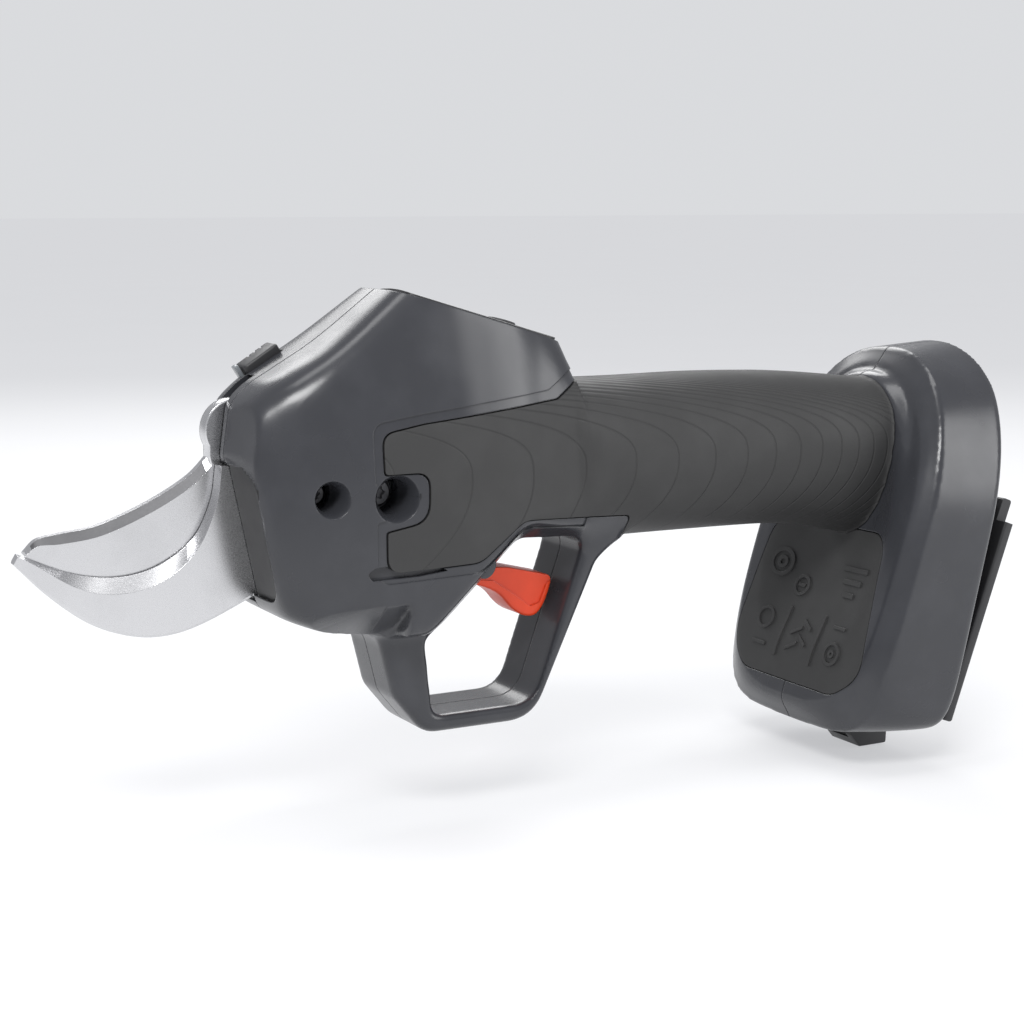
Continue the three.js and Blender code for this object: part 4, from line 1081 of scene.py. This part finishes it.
def moulded(name, base, rough, grain=0.03, edges=0.45):
    made = Finish(name, base, rough)
    made.soft_edges(edges)
    made.bump(made.noise(2600, 2), 0.35, grain)
    made.vary_rough(made.noise(60, 4), 0.05)
    lighter = tuple(min(1, v * 1.18 + 0.002) for v in base[:3]) + (1,)
    made.tint(made.noise(90, 5), 0.45, 0.8, lighter)
    scuffs = made.noise(340, 6, (1, 1, 7), (0.4, 0.7, 0.2), 0.3)
    made.tint(scuffs, 0.72, 0.86, tuple(min(1, v * 1.5 + 0.01) for v in base[:3]) + (1,))
    return made


def metal(name, base, rough, stretch, turn=(0, 0, 0), grain=0.012, dark=0.75):
    made = Finish(name, base, rough, 1)
    made.soft_edges(0.15)
    lines = made.noise(1500, 2, stretch, turn)
    made.bump(lines, 0.3, grain)
    made.vary_rough(lines, 0.04)
    made.tint(made.noise(55, 5), 0.5, 0.85, tuple(v * dark for v in base[:3]) + (1,))
    return made


HOUSING = moulded("housing", colour(52, 53, 57), 0.24, 0.008)
RUBBER = moulded("soft_grip", colour(46, 46, 46), 0.6, 0.05, 0.3)
GRIP = moulded("soft_grip_grooved", colour(46, 46, 46), 0.6, 0.05, 0.3)
GRIP.contour_grooves()
DARK = moulded("dark_plastic", colour(42, 42, 44), 0.42, 0.03, 0.3)
ORANGE = moulded("trigger_plastic", colour(214, 62, 22), 0.36, 0.015, 0.4)
BLADE = metal("blade_steel", (0.66, 0.66, 0.67, 1), 0.26, (1, 1, 14), (0, 0.5, 0), 0.002, 0.86)
STEEL = metal("steel", (0.56, 0.56, 0.57, 1), 0.3, (1, 8, 1))
# A darker, rougher copy of the blade steel: painted shade for the cutter's spine bevel.
SPINE_SHADE = metal("spine_steel", (0.17, 0.17, 0.175, 1), 0.62, (1, 8, 1))
GEAR = metal("gear_steel", (0.28, 0.28, 0.29, 1), 0.36, (8, 1, 1))
SCREW = metal("black_screw", (0.2, 0.2, 0.21, 1), 0.34, (1, 6, 1))
CAST = metal("cast_aluminium", (0.5, 0.5, 0.52, 1), 0.48, (1, 1, 1), (0, 0, 0), 0.06)
MAGNET = metal("magnet", (0.25, 0.25, 0.26, 1), 0.33, (1, 4, 1))
MOTOR = metal("motor_steel", (0.16, 0.16, 0.17, 1), 0.38, (5, 1, 1))
COPPER = metal("copper", (0.72, 0.27, 0.13, 1), 0.34, (1, 12, 12), (0, 0, 0), 0.12)
BRASS = metal("contact_brass", (0.75, 0.53, 0.22, 1), 0.3, (6, 1, 1))
CIRCUIT = moulded("circuit", colour(22, 74, 44), 0.38)
LENS = moulded("lens", colour(120, 124, 128), 0.12, 0.004, 0.2)
BLACK = moulded("black_plastic", colour(24, 24, 25), 0.45)
RED = moulded("red_wire", colour(176, 26, 22), 0.4)

FINISHES = [HOUSING, RUBBER, DARK, ORANGE, BLADE, STEEL, GEAR, SCREW, CAST]
FINISHES += [MAGNET, MOTOR, COPPER, BRASS, CIRCUIT, LENS, BLACK, RED]
BY_SLOT = {finish.slot: finish for finish in FINISHES}


def dress(obj, finish):
    """Gives a piece its material and its smooth shading."""
    obj.data.materials.clear()
    obj.data.materials.append(finish.material)
    for polygon in obj.data.polygons:
        polygon.use_smooth = True
    obj.data.set_sharp_from_angle(angle=math.radians(32))


def stand_in(obj, node, slot, finish=None):
    """The piece takes the CAD node's place."""
    obj.name = node + "_look"
    dress(obj, finish or BY_SLOT[slot])
    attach(obj, frame["nodes"][node]["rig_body"])
    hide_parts(node)


def paint_wall_shade(obj):
    """The recessed front wall behind the rim is painted matt black: painted shade in the recess."""
    obj.data.materials.append(BLACK.material)
    for polygon in obj.data.polygons:
        x, _, z = np.array(polygon.center) / MM - ORIGIN
        on_wall = abs(wall_depth(x - WALL_STEP, z)) < 0.12
        if on_wall and -31 < z < 5 and polygon.normal.x < -0.9:
            polygon.material_index = 1


def paint_spine_shade(obj):
    """The bevel along the cutting blade's spine is painted dark: painted shade on the bevel."""
    obj.data.materials.append(SPINE_SHADE.material)
    for polygon in obj.data.polygons:
        x = polygon.center.x / MM - ORIGIN[0]
        if x < SPINE_SHADE_END and -0.985 < polygon.normal.y < -0.4:
            polygon.material_index = 1


def flatten_sides(obj):
    """The ground sides of a blade are shaded flat."""
    for polygon in obj.data.polygons:
        polygon.use_smooth = abs(polygon.normal.y) < 0.78


stand_in(left_shell, "left_shell", "housing")
stand_in(right_shell, "right_shell", "housing")
paint_wall_shade(left_shell)
paint_wall_shade(right_shell)
stand_in(left_grip, "left_grip", "soft_grip", GRIP)
stand_in(right_grip, "right_grip", "soft_grip", GRIP)
stand_in(foot_pad, "foot_pad", "soft_grip")
stand_in(hook, "hook_blade", "blade_steel")
stand_in(cutter, "cutting_blade", "blade_steel")
paint_spine_shade(cutter)
flatten_sides(hook)
flatten_sides(cutter)
stand_in(trigger, "trigger", "trigger_plastic")
stand_in(panel, "top_panel", "dark_plastic")
stand_in(window, "status_window", "lens")
stand_in(button, "power_button", "dark_plastic")
stand_in(light, "work_light_housing", "dark_plastic")
stand_in(light_lens, "work_light_lens", "lens")
stand_in(rail, "battery_rail", "dark_plastic")
stand_in(stop, "foot_stop", "dark_plastic")
stand_in(spring, "trigger_spring", "steel")
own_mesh(spring)
for screw in screws:
    stand_in(screw, screw.name.replace("_look", ""), "black_screw")

NODE_SLOTS = {part["node"]: part["material_slot"] for part in frame["record"]["subparts"]}
for name, node in frame["nodes"].items():
    if node.hide_render:
        continue
    material = BY_SLOT[NODE_SLOTS[name]].material
    if node.data.materials:
        node.data.materials[0] = material
    else:
        node.data.materials.append(material)

# ---------------------------------------------------------------- setting
CAMERA = (-0.267667, -0.476067, 0.166576)  # metres
VIEW_TURN, VIEW_RISE = math.radians(28.5), math.radians(9)  # from a straight side view, and above level
BACK_AXIS = Vector((-math.sin(VIEW_TURN), -math.cos(VIEW_TURN), math.tan(VIEW_RISE))).normalized()
LENS_MM = 70


def area(name, place, aim, size, power, tint=(1, 1, 1)):
    lamp = bpy.data.lights.new(name, "AREA")
    lamp.shape = "RECTANGLE"
    lamp.size, lamp.size_y = size
    lamp.energy = power
    lamp.color = tint
    obj = bpy.data.objects.new(name, lamp)
    obj.location = place
    obj.rotation_euler = (Vector(aim) - Vector(place)).to_track_quat("-Z", "Y").to_euler()
    scene.collection.objects.link(obj)


def setting():
    size, height = 15.0, -0.0004
    floor_mesh = bpy.data.meshes.new("floor")
    work = bmesh.new()
    bmesh.ops.create_grid(work, x_segments=2, y_segments=2, size=size)
    bmesh.ops.translate(work, vec=(0, 0, height), verts=work.verts)
    work.to_mesh(floor_mesh)
    work.free()
    floor = bpy.data.objects.new("floor", floor_mesh)
    scene.collection.objects.link(floor)
    paint = Finish("floor", (0.42, 0.42, 0.42, 1), 0.8)
    paint.tint(paint.noise(6, 3), 0.4, 0.9, (0.41, 0.41, 0.41, 1))
    paint.shader.inputs["Specular IOR Level"].default_value = 0.0
    paint.shader.inputs["Emission Color"].default_value = (0.96, 0.97, 1, 1)
    paint.shader.inputs["Emission Strength"].default_value = 0.5
    floor.data.materials.append(paint.material)
    world = bpy.data.worlds.new("studio")
    world.use_nodes = True
    links, nodes = world.node_tree.links, world.node_tree.nodes
    nodes["Background"].inputs["Color"].default_value = (0.95, 0.96, 1, 1)
    nodes["Background"].inputs["Strength"].default_value = 0.5
    seen = nodes.new("ShaderNodeBackground")
    seen.inputs["Color"].default_value = (0.7, 0.71, 0.73, 1)
    mix, path = nodes.new("ShaderNodeMixShader"), nodes.new("ShaderNodeLightPath")
    links.new(path.outputs["Is Camera Ray"], mix.inputs["Fac"])
    links.new(nodes["Background"].outputs[0], mix.inputs[1])
    links.new(seen.outputs[0], mix.inputs[2])
    links.new(mix.outputs[0], nodes["World Output"].inputs["Surface"])
    scene.world = world
    middle = (0, 0, 0.07)
    area("key", (-0.45, -0.6, 0.8), middle, (0.5, 0.25), 7)
    area("fill", (0.7, -0.6, 0.35), middle, (0.3, 0.6), 2.5)
    area("rear", (0.3, 0.8, 0.7), middle, (0.8, 0.4), 5)
    area("top", (0, 0, 1), middle, (0.9, 0.3), 3.5)
    lens = bpy.data.cameras.new("camera")
    lens.lens = LENS_MM
    camera = bpy.data.objects.new("camera", lens)
    side = Vector((0, 0, 1)).cross(BACK_AXIS).normalized()
    up = BACK_AXIS.cross(side)
    camera.matrix_world = Matrix.Translation(CAMERA) @ Matrix((side, up, BACK_AXIS)).transposed().to_4x4()
    scene.collection.objects.link(camera)
    scene.camera = camera
    scene.view_settings.view_transform = "Standard"


setting()
